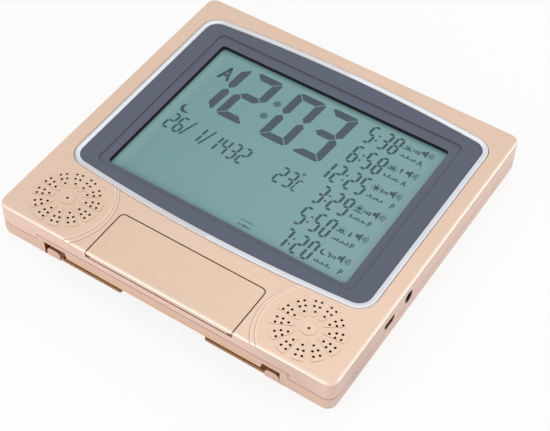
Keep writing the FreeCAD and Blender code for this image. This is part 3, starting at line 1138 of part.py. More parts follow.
def data_socket():
    x1 = SOCKET_NOSE_X
    body = data_outline(0, x1 - DATA_LENGTH, x1).cut(data_outline(DATA_SHEET, x1 - DATA_LENGTH + 1, x1 + 1))
    half = DATA_WIDTH / 2 - 2 * DATA_SHEET - DATA_TONGUE_SIDE
    tongue = block(x1 - DATA_LENGTH, x1 - 1, DATA_Y - half, DATA_Y + half, SOCKET_Z - DATA_TONGUE / 2,
                   SOCKET_Z + DATA_TONGUE / 2)
    foot = block(x1 - DATA_LENGTH, x1 - DATA_LENGTH / 2, DATA_Y - DATA_FOOT / 2, DATA_Y + DATA_FOOT / 2,
                 SOCKET_BOARD_TOP_Z, SOCKET_Z - DATA_HEIGHT / 2 + DATA_FOOT_SINK)
    return joined([body, tongue, foot])


def socket_board():
    x1 = SOCKET_FACE_X - SOCKET_WALL_GAP
    return block(x1 - SOCKET_BOARD_WIDTH, x1, DATA_Y - SOCKET_BOARD_END, JACK_Y + SOCKET_BOARD_END,
                 SOCKET_BOARD_TOP_Z - SOCKET_BOARD_THICKNESS, SOCKET_BOARD_TOP_Z)


# ---- Files ------------------------------------------------------------------------------------------------

save("front_shell", front_shell())
save("rear_shell", rear_shell())
save("trim_ring", trim_ring())
save("display_bezel", display_bezel())
save("lcd_glass", lcd_glass())
save("light_guide", light_guide())
save("lcd_tray", lcd_tray())
save("zebra_strip", zebra_strip())
save("tray_screws", tray_screws())
save("main_board", main_board())
save("main_board_parts", main_board_parts())
save("keypad_board", keypad_board())
save("key_switches", key_switches())
save("board_screws", board_screws())
save("keypad_lid", keypad_lid())
save("battery_cells", battery_cells())
save("battery_contacts", battery_contacts())
save("battery_door", battery_door())
save("case_screws", case_screw_group())
save("power_jack", power_jack())
save("data_socket", data_socket())
save("socket_board", socket_board())

for number, (key_x, key_y) in enumerate(key_spots(), start=1):
    save("key_%d" % number, key(key_x, key_y))

for side_name, side in (("left", -1), ("right", 1)):
    save(side_name + "_speaker_gasket", speaker_gasket(side * SPEAKER_X))
    save(side_name + "_speaker_basket", speaker_basket(side * SPEAKER_X))
    save(side_name + "_speaker_cone", speaker_cone(side * SPEAKER_X))
    save(side_name + "_speaker_magnet", speaker_magnet(side * SPEAKER_X))

left_leg = leg()
left_leg_screw = leg_screw()
save("left_leg", left_leg)
save("right_leg", mirrored(left_leg))
save("left_leg_screw", left_leg_screw)
save("right_leg_screw", mirrored(left_leg_screw))
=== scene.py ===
import math
import bmesh
import bpy
from mathutils import Matrix, Vector


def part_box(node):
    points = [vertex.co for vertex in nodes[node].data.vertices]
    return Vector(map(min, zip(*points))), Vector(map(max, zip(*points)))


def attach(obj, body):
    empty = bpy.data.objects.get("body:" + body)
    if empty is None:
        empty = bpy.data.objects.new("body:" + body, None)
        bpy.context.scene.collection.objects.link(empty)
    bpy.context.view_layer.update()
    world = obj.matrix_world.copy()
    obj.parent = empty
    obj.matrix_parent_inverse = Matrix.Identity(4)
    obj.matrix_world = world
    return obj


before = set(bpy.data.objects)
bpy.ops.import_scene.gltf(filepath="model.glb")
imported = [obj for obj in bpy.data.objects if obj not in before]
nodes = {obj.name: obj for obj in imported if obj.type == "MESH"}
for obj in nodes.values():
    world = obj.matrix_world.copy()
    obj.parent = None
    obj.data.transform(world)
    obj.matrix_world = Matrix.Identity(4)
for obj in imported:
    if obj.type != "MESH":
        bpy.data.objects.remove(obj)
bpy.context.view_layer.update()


# ---- The painted case -----------------------------------------------------------------------
# Two shells of moulded ABS, sprayed with champagne gold lacquer over a fine metal flake.
# They meet at a reveal groove, and long screws from the back pull them together.
MM = 0.001
GOLD = (0.730, 0.535, 0.410)
GOLD_DEEP = (0.690, 0.492, 0.368)
# Painted light: the next three tones are painted shading down the sides, deeper painted shade by
# the right front corner, and a painted highlight on the rims.
SIDE_SHADE_GOLD = (0.735, 0.525, 0.432)
CORNER_SHADE_GOLD = (0.645, 0.465, 0.392)
RIM_HIGHLIGHT_GOLD = (0.820, 0.655, 0.540)
SIDE_FROM_LEAN, SIDE_TO_LEAN = 0.85, 0.25
CORNER_FROM, CORNER_TO, CORNER_SOFT = 187.0 * MM, 201.0 * MM, 21.0 * MM
RIM_Z, RIM_FRONT_Y, RIM_RIGHT_X, RIM_SOFT = 24.9 * MM, -106.3 * MM, 111.3 * MM, 0.9 * MM
ROUND_FROM_LEAN, ROUND_TO_LEAN, ROUND_SOFT, LEVEL_LEAN = 0.45, 0.93, 0.06, 0.6
MASK_SOFT, RELIEF_DEPTH = 0.02 * MM, 0.1 * MM
NODES_IN_ROW, NODE_WIDE, NODE_TALL = 8, 220, 320


def place(tree, kind, inputs=None, **settings):
    """A shader node with its settings and its unlinked inputs. Nodes stand in rows."""
    row, column = divmod(len(tree.nodes), NODES_IN_ROW)
    node = tree.nodes.new(kind)
    node.location = (column * NODE_WIDE, -row * NODE_TALL)
    for name, value in settings.items():
        setattr(node, name, value)
    for name, value in (inputs or {}).items():
        node.inputs[name].default_value = value
    return node


def rgba(colour):
    return (colour[0], colour[1], colour[2], 1.0)


def ramp(tree, source, low, high):
    """0 at low, 1 at high and straight between them; high may be the smaller one."""
    node = place(tree, "ShaderNodeMapRange", {"From Min": low, "From Max": high})
    tree.links.new(source, node.inputs["Value"])
    return node.outputs["Result"]


def surface_grain():
    """Cloudy tone, fine speck and a height, for lacquer and moulded plastic."""
    group = bpy.data.node_groups.new("surface_grain", "ShaderNodeTree")
    for label, kind, value in (("Colour", "NodeSocketColor", (0.5, 0.5, 0.5, 1)),
                               ("Shade", "NodeSocketColor", (0.4, 0.4, 0.4, 1)),
                               ("Cloud Scale", "NodeSocketFloat", 30.0),
                               ("Speck Scale", "NodeSocketFloat", 2200.0),
                               ("Speck", "NodeSocketFloat", 0.3),
                               ("Roughness Low", "NodeSocketFloat", 0.35),
                               ("Roughness High", "NodeSocketFloat", 0.45)):
        socket = group.interface.new_socket(label, in_out="INPUT", socket_type=kind)
        socket.default_value = value
    for label, kind in (("Colour", "NodeSocketColor"), ("Roughness", "NodeSocketFloat"),
                        ("Height", "NodeSocketFloat")):
        group.interface.new_socket(label, in_out="OUTPUT", socket_type=kind)
    link = group.links.new
    start = place(group, "NodeGroupInput")
    end = place(group, "NodeGroupOutput")
    where = place(group, "ShaderNodeTexCoord")
    cloud = place(group, "ShaderNodeTexNoise", {"Detail": 3.0, "Roughness": 0.55})
    speck = place(group, "ShaderNodeTexNoise", {"Detail": 2.0, "Roughness": 0.7})
    for noise, scale in ((cloud, "Cloud Scale"), (speck, "Speck Scale")):
        link(where.outputs["Object"], noise.inputs["Vector"])
        link(start.outputs[scale], noise.inputs["Scale"])
    soft = ramp(group, cloud.outputs["Fac"], 0.3, 0.7)
    fine = ramp(group, speck.outputs["Fac"], 0.25, 0.75)
    both = place(group, "ShaderNodeMix", data_type="FLOAT")
    link(start.outputs["Speck"], both.inputs["Factor"])
    link(soft, both.inputs["A"])
    link(fine, both.inputs["B"])
    tone = place(group, "ShaderNodeMix", data_type="RGBA")
    link(both.outputs["Result"], tone.inputs["Factor"])
    link(start.outputs["Colour"], tone.inputs["A"])
    link(start.outputs["Shade"], tone.inputs["B"])
    rough = place(group, "ShaderNodeMapRange")
    link(fine, rough.inputs["Value"])
    link(start.outputs["Roughness Low"], rough.inputs["To Min"])
    link(start.outputs["Roughness High"], rough.inputs["To Max"])
    link(tone.outputs["Result"], end.inputs["Colour"])
    link(rough.outputs["Result"], end.inputs["Roughness"])
    link(fine, end.inputs["Height"])
    return group


GRAIN = surface_grain()


def finish(name, colour, shade, roughness, bump=0.02, speck=0.3, cloud_scale=30.0,
           speck_scale=2200.0, **shader_values):
    """A Principled material whose tone, roughness and relief come from the grain group."""
    material = bpy.data.materials.new(name)
    material.use_nodes = True
    tree = material.node_tree
    shader = tree.nodes["Principled BSDF"]
    grain = place(tree, "ShaderNodeGroup", node_tree=GRAIN)
    for label, value in (("Colour", rgba(colour)), ("Shade", rgba(shade)),
                         ("Cloud Scale", cloud_scale), ("Speck Scale", speck_scale),
                         ("Speck", speck), ("Roughness Low", roughness[0]),
                         ("Roughness High", roughness[1])):
        grain.inputs[label].default_value = value
    relief = place(tree, "ShaderNodeBump", {"Strength": bump, "Distance": RELIEF_DEPTH})
    tree.links.new(grain.outputs["Colour"], shader.inputs["Base Color"])
    tree.links.new(grain.outputs["Roughness"], shader.inputs["Roughness"])
    tree.links.new(grain.outputs["Height"], relief.inputs["Height"])
    tree.links.new(relief.outputs["Normal"], shader.inputs["Normal"])
    for label, value in shader_values.items():
        shader.inputs[label.replace("_", " ")].default_value = value
    return material


def coat(material, *names):
    """Gives solids of the frame their finish."""
    for name in names:
        nodes[name].data.materials.clear()
        nodes[name].data.materials.append(material)


def axes(tree, kind="Object"):
    """The X, Y and Z of a point, or of its normal."""
    where = place(tree, "ShaderNodeTexCoord")
    parts = place(tree, "ShaderNodeSeparateXYZ")
    tree.links.new(where.outputs[kind], parts.inputs["Vector"])
    return [parts.outputs[axis] for axis in "XYZ"]


def combine(tree, operation, total, *others):
    """One kind of Math node, chained over numbers and outputs. Some kinds take only one."""
    for other in others or (0.0,):
        node = place(tree, "ShaderNodeMath", operation=operation)
        for socket, value in zip(node.inputs, (total, other)):
            if isinstance(value, float):
                socket.default_value = value
            else:
                tree.links.new(value, socket)
        total = node.outputs["Value"]
    return total


def less(tree, value, limit):
    return combine(tree, "LESS_THAN", value, limit)


def more(tree, value, limit):
    return combine(tree, "GREATER_THAN", value, limit)


def inverse(tree, mask):
    return combine(tree, "SUBTRACT", 1.0, mask)


def product(tree, first, *others):
    """Of masks, this is 1 where all of them are 1."""
    return combine(tree, "MULTIPLY", first, *others) if others else first


def band(tree, source, low, high, soft=MASK_SOFT):
    """1 where a value lies between low and high, and 0 beyond the soft steps outside them."""
    return product(tree, ramp(tree, source, low - soft, low), ramp(tree, source, high + soft, high))


def distance(tree, run, rise):
    """The length of a slanted line from its two sides."""
    return combine(tree, "SQRT", combine(tree, "ADD", product(tree, run, run),
                                         product(tree, rise, rise)))


def reach(tree, run, rise, centre_run, centre_rise):
    """How far a point is from an axis."""
    return distance(tree, combine(tree, "SUBTRACT", run, centre_run),
                    combine(tree, "SUBTRACT", rise, centre_rise))


def tint(material, tone, *masks):
    """Lays another tone over a finish wherever all the masks are 1."""
    tree = material.node_tree
    base = tree.nodes["Principled BSDF"].inputs["Base Color"]
    under = base.links[0].from_socket
    mix = place(tree, "ShaderNodeMix", {"B": rgba(tone)}, data_type="RGBA")
    tree.links.new(product(tree, *masks), mix.inputs["Factor"])
    tree.links.new(under, mix.inputs["A"])
    tree.links.new(mix.outputs["Result"], base)


def shell_finish(name, colour=GOLD, deep=GOLD_DEEP, side_shade_tone=SIDE_SHADE_GOLD):
    """The lacquer, with painted shading down the sides, deeper painted shade by the right front
    corner, and a painted highlight on the rounded front edges, wider along the front and right
    rims. The coordinates come back with it, for more masks: how far out from the middle a point
    is, and how level its surface."""
    material = finish(name, colour, deep, (0.34, 0.42), bump=0.05, cloud_scale=22.0,
                      Metallic=0.22, Coat_Weight=0.30, Coat_Roughness=0.18)
    tree = material.node_tree
    x, y, z = axes(tree)
    across = combine(tree, "ABSOLUTE", x)
    lean = combine(tree, "ABSOLUTE", axes(tree, "Normal")[2])
    side = ramp(tree, lean, SIDE_FROM_LEAN, SIDE_TO_LEAN)
    # Painted shading down the sides.
    tint(material, side_shade_tone, side)
    corner_shade = band(tree, combine(tree, "SUBTRACT", x, y), CORNER_FROM, CORNER_TO, CORNER_SOFT)
    # Deeper painted shade on the sides by the right front corner.
    tint(material, CORNER_SHADE_GOLD, corner_shade, side)
    # A painted highlight on the rounded front edges, wider along the front and right rims.
    rounded = band(tree, lean, ROUND_FROM_LEAN, ROUND_TO_LEAN, ROUND_SOFT)
    lit_rims = combine(tree, "MAXIMUM", ramp(tree, y, RIM_FRONT_Y + RIM_SOFT, RIM_FRONT_Y),
                      ramp(tree, x, RIM_RIGHT_X - RIM_SOFT, RIM_RIGHT_X))
    level = product(tree, more(tree, lean, LEVEL_LEAN), lit_rims)
    tint(material, RIM_HIGHLIGHT_GOLD, combine(tree, "MAXIMUM", rounded, level), more(tree, z, RIM_Z))
    return material, tree, (x, y, z), across, lean


UPRIGHT_LEAN = 0.5
SPEAKER_X, SPEAKER_Y, GRILLE_R, GRILLE_TOP = 81.5 * MM, -82.2 * MM, 22.3 * MM, 26.68 * MM
LID_X, LID_FROM_Y, LID_TO_Y = 49.4 * MM, -108.0 * MM, -72.9 * MM
LID_SLOT_Z, LID_SLOT_TO_Z, LID_TOP, WELL_FRONT_Y = 22.16 * MM, 22.96 * MM, 25.9 * MM, -105.0 * MM
LID_CORNER_X, LID_CORNER_Y = 46.0 * MM, -76.25 * MM
LID_RIM_FROM_R, LID_RIM_TO_R, LID_RIM_Y = 3.15 * MM, 3.52 * MM, -106.5 * MM
LID_RIM_FROM_Z, LID_RIM_TO_Z = 24.4 * MM, 26.4 * MM
OPENING_X, OPENING_LOW_Y, OPENING_TOP_Y, OPENING_Z = 104.0 * MM, -71.5 * MM, 100.0 * MM, 23.2 * MM
INLET_X, INLET_FACE_X, INLET_LOW, INLET_HIGH = 109.0 * MM, 112.42 * MM, 13.4 * MM, 21.8 * MM
JACK_FROM_Y, JACK_TO_Y, DATA_FROM_Y, DATA_TO_Y = -31.7 * MM, -23.3 * MM, -54.2 * MM, -43.2 * MM
JOINT_Z, JOINT_HIGH_Z, JOINT_HALF = 12.95 * MM, 17.25 * MM, 0.21 * MM
JOINT_X, JOINT_Y, JOG_FROM_X, JOG_TO_X = 85.2 * MM, -106.5 * MM, 84.65 * MM, 85.15 * MM
JOINT_FADE_X, JOINT_FADE_FROM_Y, JOINT_FADE_TO_Y = 111.9 * MM, -103.0 * MM, -97.0 * MM
HOLE_SHADE = (0.012, 0.005, 0.003)
GAP_SHADE = (0.095, 0.042, 0.022)
GAP_SIDE_SHADE = (0.070, 0.018, 0.003)
GAP_FRONT_SHADE = (0.220, 0.075, 0.025)
SLOT_SHADE = (0.345, 0.150, 0.072)
OPENING_WALL_LIGHT = (0.950, 0.800, 0.670)
PETAL_EDGE_SHADE = (0.480, 0.315, 0.220)
JOINT_SHADE = (0.400, 0.160, 0.082)


def joint_mask(tree, x, y, z, across):
    """The reveal groove where the shells meet, which takes painted shade: a step higher over the
    legs, with the upright piece at the step's right end, and left off on the right side."""
    front = less(tree, y, JOINT_Y)
    raised = product(tree, front, less(tree, across, JOINT_X))
    low, high = (band(tree, z, middle - JOINT_HALF, middle + JOINT_HALF)
                 for middle in (JOINT_Z, JOINT_HIGH_Z))
    jog = product(tree, front, band(tree, x, JOG_FROM_X, JOG_TO_X),
                  band(tree, z, JOINT_Z, JOINT_HIGH_Z))
    shown = combine(tree, "MAXIMUM", product(tree, low, inverse(tree, raised)),
                    product(tree, high, raised), jog)
    hidden = product(tree, ramp(tree, y, JOINT_FADE_FROM_Y, JOINT_FADE_TO_Y),
                     more(tree, x, JOINT_FADE_X))
    return product(tree, shown, inverse(tree, hidden))


front_gold, tree, (x, y, z), across, lean = shell_finish("front_shell_lacquer")
upright = less(tree, lean, UPRIGHT_LEAN)
grille = less(tree, reach(tree, across, y, SPEAKER_X, SPEAKER_Y), GRILLE_R)
well_floor = product(tree, more(tree, lean, UPRIGHT_LEAN), more(tree, y, WELL_FRONT_Y))
in_gap = product(tree, less(tree, across, LID_X), band(tree, y, LID_FROM_Y, LID_TO_Y),
                 inverse(tree, well_floor))
lid_gap = product(tree, in_gap, band(tree, z, LID_SLOT_Z, LID_TOP))
# Painted shade on the walls of the gap round the lid, deeper at its front.
tint(front_gold, GAP_SHADE, lid_gap)
tint(front_gold, GAP_FRONT_SHADE, lid_gap, less(tree, y, WELL_FRONT_Y))
# Painted shade round the lid's upper corners.
past_x, past_y = (combine(tree, "MAXIMUM", combine(tree, "SUBTRACT", source, corner), 0.0)
                  for source, corner in ((across, LID_CORNER_X), (y, LID_CORNER_Y)))
tint(front_gold, GAP_SIDE_SHADE,
     band(tree, distance(tree, past_x, past_y), LID_RIM_FROM_R, LID_RIM_TO_R),
     band(tree, z, LID_RIM_FROM_Z, LID_RIM_TO_Z), more(tree, y, LID_RIM_Y))
# Painted shade on the ledge under the lid's lip.
tint(front_gold, SLOT_SHADE, in_gap, band(tree, z, LID_SLOT_Z, LID_SLOT_TO_Z))
# Painted shade on the upright walls inside the grille, along the petals' edges.
tint(front_gold, PETAL_EDGE_SHADE, grille, upright)

# The face steps down twice towards the lid, along two arcs round each speaker. Each step gets
# a painted highlight along its upper edge and a painted shade line along its lower one.
ARC_SHADE, ARC_LIGHT_SHADE, ARC_HIGHLIGHT = (0.430, 0.275, 0.185), (0.550, 0.380, 0.275), (0.850, 0.680, 0.550)
ARC_Z, ARC_SOFT = 25.4 * MM, 0.12 * MM
between = product(tree, less(tree, across, SPEAKER_X), more(tree, z, ARC_Z))
for arc_x, arc_y, arc_r, shade_tone in ((88.5, -83.2, 33.9, ARC_LIGHT_SHADE),
                                       (89.0, -84.2, 36.6, ARC_SHADE)):
    away = reach(tree, across, y, arc_x * MM, arc_y * MM)
    for low, high, tone in ((-0.50, -0.10, ARC_HIGHLIGHT), (0.05, 0.40, shade_tone)):
        line = band(tree, away, (arc_r + low) * MM, (arc_r + high) * MM, ARC_SOFT)
        tint(front_gold, tone, line, between)
# Painted light on the upright walls round the ring's opening, lifting the shade in the gap.
tint(front_gold, OPENING_WALL_LIGHT, upright, more(tree, z, OPENING_Z), less(tree, across, OPENING_X),
     more(tree, y, OPENING_LOW_Y), less(tree, y, OPENING_TOP_Y))
# Near black painted shade down the walls of the grille holes.
tint(front_gold, HOLE_SHADE, grille, less(tree, z, GRILLE_TOP), upright)
# Painted shade in the reveal groove between the shells.
tint(front_gold, JOINT_SHADE, joint_mask(tree, x, y, z, across))
# Near black painted shade inside the openings for the jack and the data socket.
inlets = combine(tree, "MAXIMUM", band(tree, y, JACK_FROM_Y, JACK_TO_Y),
                 band(tree, y, DATA_FROM_Y, DATA_TO_Y))
tint(front_gold, HOLE_SHADE, inlets, band(tree, x, INLET_X, INLET_FACE_X),
     band(tree, z, INLET_LOW, INLET_HIGH))
coat(front_gold, "front_shell")

FRONT_SIDE_SHADE, FRONT_SIDE_Y, FRONT_SIDE_LEAN = (0.680, 0.470, 0.365), -105.8 * MM, 0.9
REFLECTED_WARM_GOLD = (0.700, 0.440, 0.250)
WARM_X, WARM_FROM_Z, WARM_TO_Z, WARM_SOFT = 64.5 * MM, 9.3 * MM, 9.8 * MM, 3.2 * MM
REBATE_SHADE = (0.330, 0.080, 0.014)
REBATE_X, REBATE_Y, REBATE_BACK_Y, REBATE_SOFT_Y = 81.0 * MM, -107.2 * MM, -91.0 * MM, 0.3 * MM
REBATE_FROM_Z, REBATE_TO_Z, REBATE_SOFT_Z = 2.1 * MM, 14.3 * MM, 1.5 * MM
rear_gold, tree, (x, y, z), across, lean = shell_finish("rear_shell_lacquer")
# Painted shading on the rear shell's front side.
tint(rear_gold, FRONT_SIDE_SHADE, less(tree, y, FRONT_SIDE_Y), less(tree, lean, FRONT_SIDE_LEAN))
# A painted warm reflection of the arms on the front side just above the rebate.
tint(rear_gold, REFLECTED_WARM_GOLD, less(tree, across, WARM_X), less(tree, y, REBATE_Y),
     band(tree, z, WARM_FROM_Z, WARM_TO_Z, WARM_SOFT))
# Deep brown painted shade inside the rebate and the leg notches.
tint(rear_gold, REBATE_SHADE, less(tree, across, REBATE_X),
     band(tree, y, REBATE_Y, REBATE_BACK_Y, REBATE_SOFT_Y),
     band(tree, z, REBATE_FROM_Z, REBATE_TO_Z, REBATE_SOFT_Z))
# Painted shade in the reveal groove between the shells.
tint(rear_gold, JOINT_SHADE, joint_mask(tree, x, y, z, across))
coat(rear_gold, "rear_shell")


# ---- The silver trim ring -------------------------------------------------------------------
# A thin moulded ring, sprayed bright silver and clear coated, pressed into the case's opening
# from the front round the dark panel.
SILVER = (0.700, 0.715, 0.770)
SILVER_SHADE = (0.650, 0.665, 0.720)
SILVER_SLOPE_SHADE, SILVER_WALL_LIGHT = (0.500, 0.490, 0.475), (0.930, 0.900, 0.880)
SLOPE_SHADE_FROM_TURN, SLOPE_SHADE_TO_TURN = 0.10, -0.15
silver = finish("silver_lacquer", SILVER, SILVER_SHADE, (0.34, 0.42), bump=0.03, speck=0.5,
                cloud_scale=40.0, Metallic=0.3, Coat_Weight=0.1, Coat_Roughness=0.2)
tree = silver.node_tree
turned = axes(tree, "Normal")
# Painted shade on the outward slope of the ring's left half.
tint(silver, SILVER_SLOPE_SHADE, ramp(tree, turned[0], SLOPE_SHADE_FROM_TURN, SLOPE_SHADE_TO_TURN),
     less(tree, axes(tree)[0], 0.0))
# Painted light on the ring's upright walls, lifting the shade in the gaps.
tint(silver, SILVER_WALL_LIGHT, less(tree, turned[2], UPRIGHT_LEAN))
coat(silver, "trim_ring")


# ---- The dark panel -------------------------------------------------------------------------
# A slate grey moulding with a fine satin spark finish. Its sunk step frames the display, with
# painted shade on its upright walls, and the window's walls take near black painted shade down
# to the glass.
SLATE = (0.100, 0.115, 0.160)
SLATE_SHADE = (0.089, 0.103, 0.145)
STEP_SHADE_SLATE = (0.036, 0.042, 0.062)
WINDOW_WALL_SHADE, WINDOW_ROUGHNESS = (0.008, 0.009, 0.012), 0.95
WALL_TOP_Z, WALL_FADE = 25.05 * MM, 0.1 * MM
slate = finish("slate_spark_finish", SLATE, SLATE_SHADE, (0.42, 0.5), bump=0.12, speck=0.55,
               cloud_scale=35.0, speck_scale=1500.0, Specular_IOR_Level=0.25)
tree = slate.node_tree
face = ramp(tree, axes(tree)[2], WALL_TOP_Z - WALL_FADE, WALL_TOP_Z)
# Near black painted shade on the window's walls below the step.
tint(slate, WINDOW_WALL_SHADE, inverse(tree, face))
rough_input = tree.nodes["Principled BSDF"].inputs["Roughness"]
face_rough = rough_input.links[0].from_socket
wall_rough = place(tree, "ShaderNodeMix", {"A": WINDOW_ROUGHNESS}, data_type="FLOAT")
tree.links.new(face, wall_rough.inputs["Factor"])
tree.links.new(face_rough, wall_rough.inputs["B"])
tree.links.new(wall_rough.outputs["Result"], rough_input)
step_lean = combine(tree, "ABSOLUTE", axes(tree, "Normal")[2])
# Painted shade on the upright walls of the sunk step.
tint(slate, STEP_SHADE_SLATE, less(tree, step_lean, UPRIGHT_LEAN), face)
coat(slate, "display_bezel")


# ---- The display glass ----------------------------------------------------------------------
# Two sheets of glass with the liquid crystal between them and a matt teal reflector behind,
# under an anti-glare polariser. The tray clamps it against the back of the panel.
TEAL = (0.188, 0.348, 0.357)
TEAL_SHADE = (0.180, 0.334, 0.344)
TEAL_LEFT = (0.152, 0.300, 0.303)
TEAL_EDGE_LIGHT = (0.212, 0.385, 0.395)
WALL_SHADE, SHADE_REACH, SHADE_FULL = (0.020, 0.036, 0.038), 0.8 * MM, 0.1 * MM
WINDOW_X, WINDOW_TOP_Y, EDGE_REACH = 81.5 * MM, 75.0 * MM, 9.0 * MM
glass_low, glass_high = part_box("lcd_glass")
glass = finish("reflective_display", TEAL, TEAL_SHADE, (0.22, 0.3), bump=0.02, speck=0.35,
               cloud_scale=18.0, speck_scale=4000.0)
tree = glass.node_tree
x, y = axes(tree)[:2]
tint(glass, TEAL_LEFT, ramp(tree, x, glass_high.x, glass_low.x))
# Painted light on the glass near the window's edges, lifting the shade of the deep window.
tint(glass, TEAL_EDGE_LIGHT, combine(
    tree, "MAXIMUM", ramp(tree, combine(tree, "ABSOLUTE", x), WINDOW_X - EDGE_REACH, WINDOW_X),
    ramp(tree, y, WINDOW_TOP_Y - EDGE_REACH, WINDOW_TOP_Y)))
tint(glass, WALL_SHADE, ramp(tree, x, SHADE_REACH - WINDOW_X, SHADE_FULL - WINDOW_X))
coat(glass, "lcd_glass")


# ---- The display's segments -----------------------------------------------------------------
# The dark liquid crystal segments: a large slanted time, the date, the temperature, six
# smaller times with their marks, and the day marks. Each is a film of even thickness.
INK, INK_SHADE = (0.036, 0.064, 0.088), (0.032, 0.058, 0.080)
PALE_INK, PALE_INK_SHADE = (0.058, 0.134, 0.148), (0.053, 0.125, 0.139)
FINE_INK, FINE_INK_SHADE = (0.014, 0.056, 0.073), (0.012, 0.050, 0.066)
ART_X, ART_Y = 0.58, -1.0
FILM_LIFT, FILM_THICKNESS = 0.02 * MM, 0.03 * MM
dark_ink, pale_ink, fine_ink = (
    finish(name, tone, shade, (0.3, 0.36), bump=0.01, cloud_scale=200.0)
    for name, tone, shade in (("segment_ink", INK, INK_SHADE),
                              ("pale_segment_ink", PALE_INK, PALE_INK_SHADE),
                              ("fine_segment_ink", FINE_INK, FINE_INK_SHADE)))

SEGMENTS_OF = {"0": "abcdef", "1": "bc", "2": "abged", "3": "abgcd", "4": "fgbc", "5": "afgcd",
               "6": "afgecd", "7": "abc", "8": "abcdefg", "9": "abcdfg", "C": "afed", " ": ""}


def bar(mesh, length, stroke, middle, turned, corners=()):
    """One segment: a pointed bar. Each (end, side) in corners runs out to the full corner."""
    made = bmesh.ops.create_circle(mesh, cap_ends=True, segments=6, radius=1.0)["verts"]
    bmesh.ops.rotate(mesh, verts=made, matrix=Matrix.Rotation(math.pi / 2, 3, "Z"))
    half, tip = length / 2, stroke / 2
    for vert in made:
        end = 1 if vert.co.x > 0 else -1
        if abs(vert.co.y) < 0.1:
            vert.co = (end * half, 0, 0)
        else:
            side = 1 if vert.co.y > 0 else -1
            far = half + (tip if (end, side) in corners else -tip)
            vert.co = (end * far, side * tip, 0)
    if turned:
        bmesh.ops.rotate(mesh, verts=made, matrix=Matrix.Rotation(math.pi / 2, 3, "Z"))
    bmesh.ops.translate(mesh, verts=made, vec=(middle[0], middle[1], 0))


def digit(mesh, figure, left, low, width, height, stroke, gap, filled=False):
    """A seven segment figure, upright, from its outer left bottom corner."""
    across, tall = width - stroke, (height - stroke) / 2
    middle_x, middle_y = left + width / 2, low + height / 2
    spots = {"a": (0, tall, False, ((-1, 1), (1, 1))),
             "g": (0, 0, False, ()),
             "d": (0, -tall, False, ((-1, -1), (1, -1))),
             "f": (-across / 2, tall / 2, True, ((1, 1),)),
             "e": (-across / 2, -tall / 2, True, ((-1, 1),)),
             "b": (across / 2, tall / 2, True, ((1, -1),)),
             "c": (across / 2, -tall / 2, True, ((-1, -1),))}
    for name in SEGMENTS_OF[figure]:
        x, y, turned, corners = spots[name]
        length = (tall if turned else across) - gap
        bar(mesh, length, stroke, (middle_x + x, middle_y + y), turned,
            corners if filled else ())


def round_corners(mesh, left, low, width, height, radius):
    """Trims the outside of an upright figure to rounded corners."""
    for side in (-1, 1):
        for up in (-1, 1):
            centre = Vector((left + width / 2 + side * (width / 2 - radius),
                             low + height / 2 + up * (height / 2 - radius), 0))
            for angle in (15, 35, 55, 75):
                normal = Vector((side * math.cos(math.radians(angle)),
                                 up * math.sin(math.radians(angle)), 0))
                bmesh.ops.bisect_plane(mesh, geom=mesh.verts[:] + mesh.edges[:] + mesh.faces[:],
                                       plane_co=centre + normal * radius, plane_no=normal,
                                       clear_outer=True)


def join_flat(into, part, slant=0.0, low=0.0):
    """Leans a flat figure and adds it to the group's mesh."""
    if slant:
        lean = Matrix.Identity(4)
        lean[0][1], lean[0][3] = slant, -slant * low
        bmesh.ops.transform(part, verts=part.verts, matrix=lean)
    holder = bpy.data.meshes.new("flat")
    part.to_mesh(holder)
    part.free()
    into.from_mesh(holder)
    bpy.data.meshes.remove(holder)


def figures(into, text, lefts, low, width, height, stroke, gap, slant, corner=0.0):
    for figure, left in zip(text, lefts):
        part = bmesh.new()
        digit(part, figure, left, low, width, height, stroke, gap, corner > 0)
        if corner:
            round_corners(part, left, low, width, height, corner)
        join_flat(into, part, slant, low)


def dot(mesh, x, y, radius, segments=24):
    made = bmesh.ops.create_circle(mesh, cap_ends=True, segments=segments, radius=radius)["verts"]
    bmesh.ops.translate(mesh, verts=made, vec=(x, y, 0))
    return made


def plate(mesh, x, y, width, height, lean=0.0):
    made = bmesh.ops.create_grid(mesh, x_segments=1, y_segments=1, size=0.5)["verts"]
    for vert in made:
        vert.co = (x + vert.co.x * width + vert.co.y * lean, y + vert.co.y * height, 0)
    return made


def ring_piece(mesh, x, y, inner, outer, start, sweep, steps=12):
    """Part of a flat ring, swept from a short radial edge."""
    turn = Matrix.Rotation(math.radians(start), 3, "Z")
    near = mesh.verts.new(turn @ Vector((inner, 0, 0)))
    far = mesh.verts.new(turn @ Vector((outer, 0, 0)))
    edge = mesh.edges.new((near, far))
    whole = sweep >= 360
    before = set(mesh.verts) - {near, far}
    bmesh.ops.spin(mesh, geom=[near, far, edge], axis=(0, 0, 1), cent=(0, 0, 0),
                   angle=math.radians(sweep), steps=steps, use_merge=whole)
    made = [v for v in mesh.verts if v not in before]
    bmesh.ops.translate(mesh, verts=made, vec=(x, y, 0))


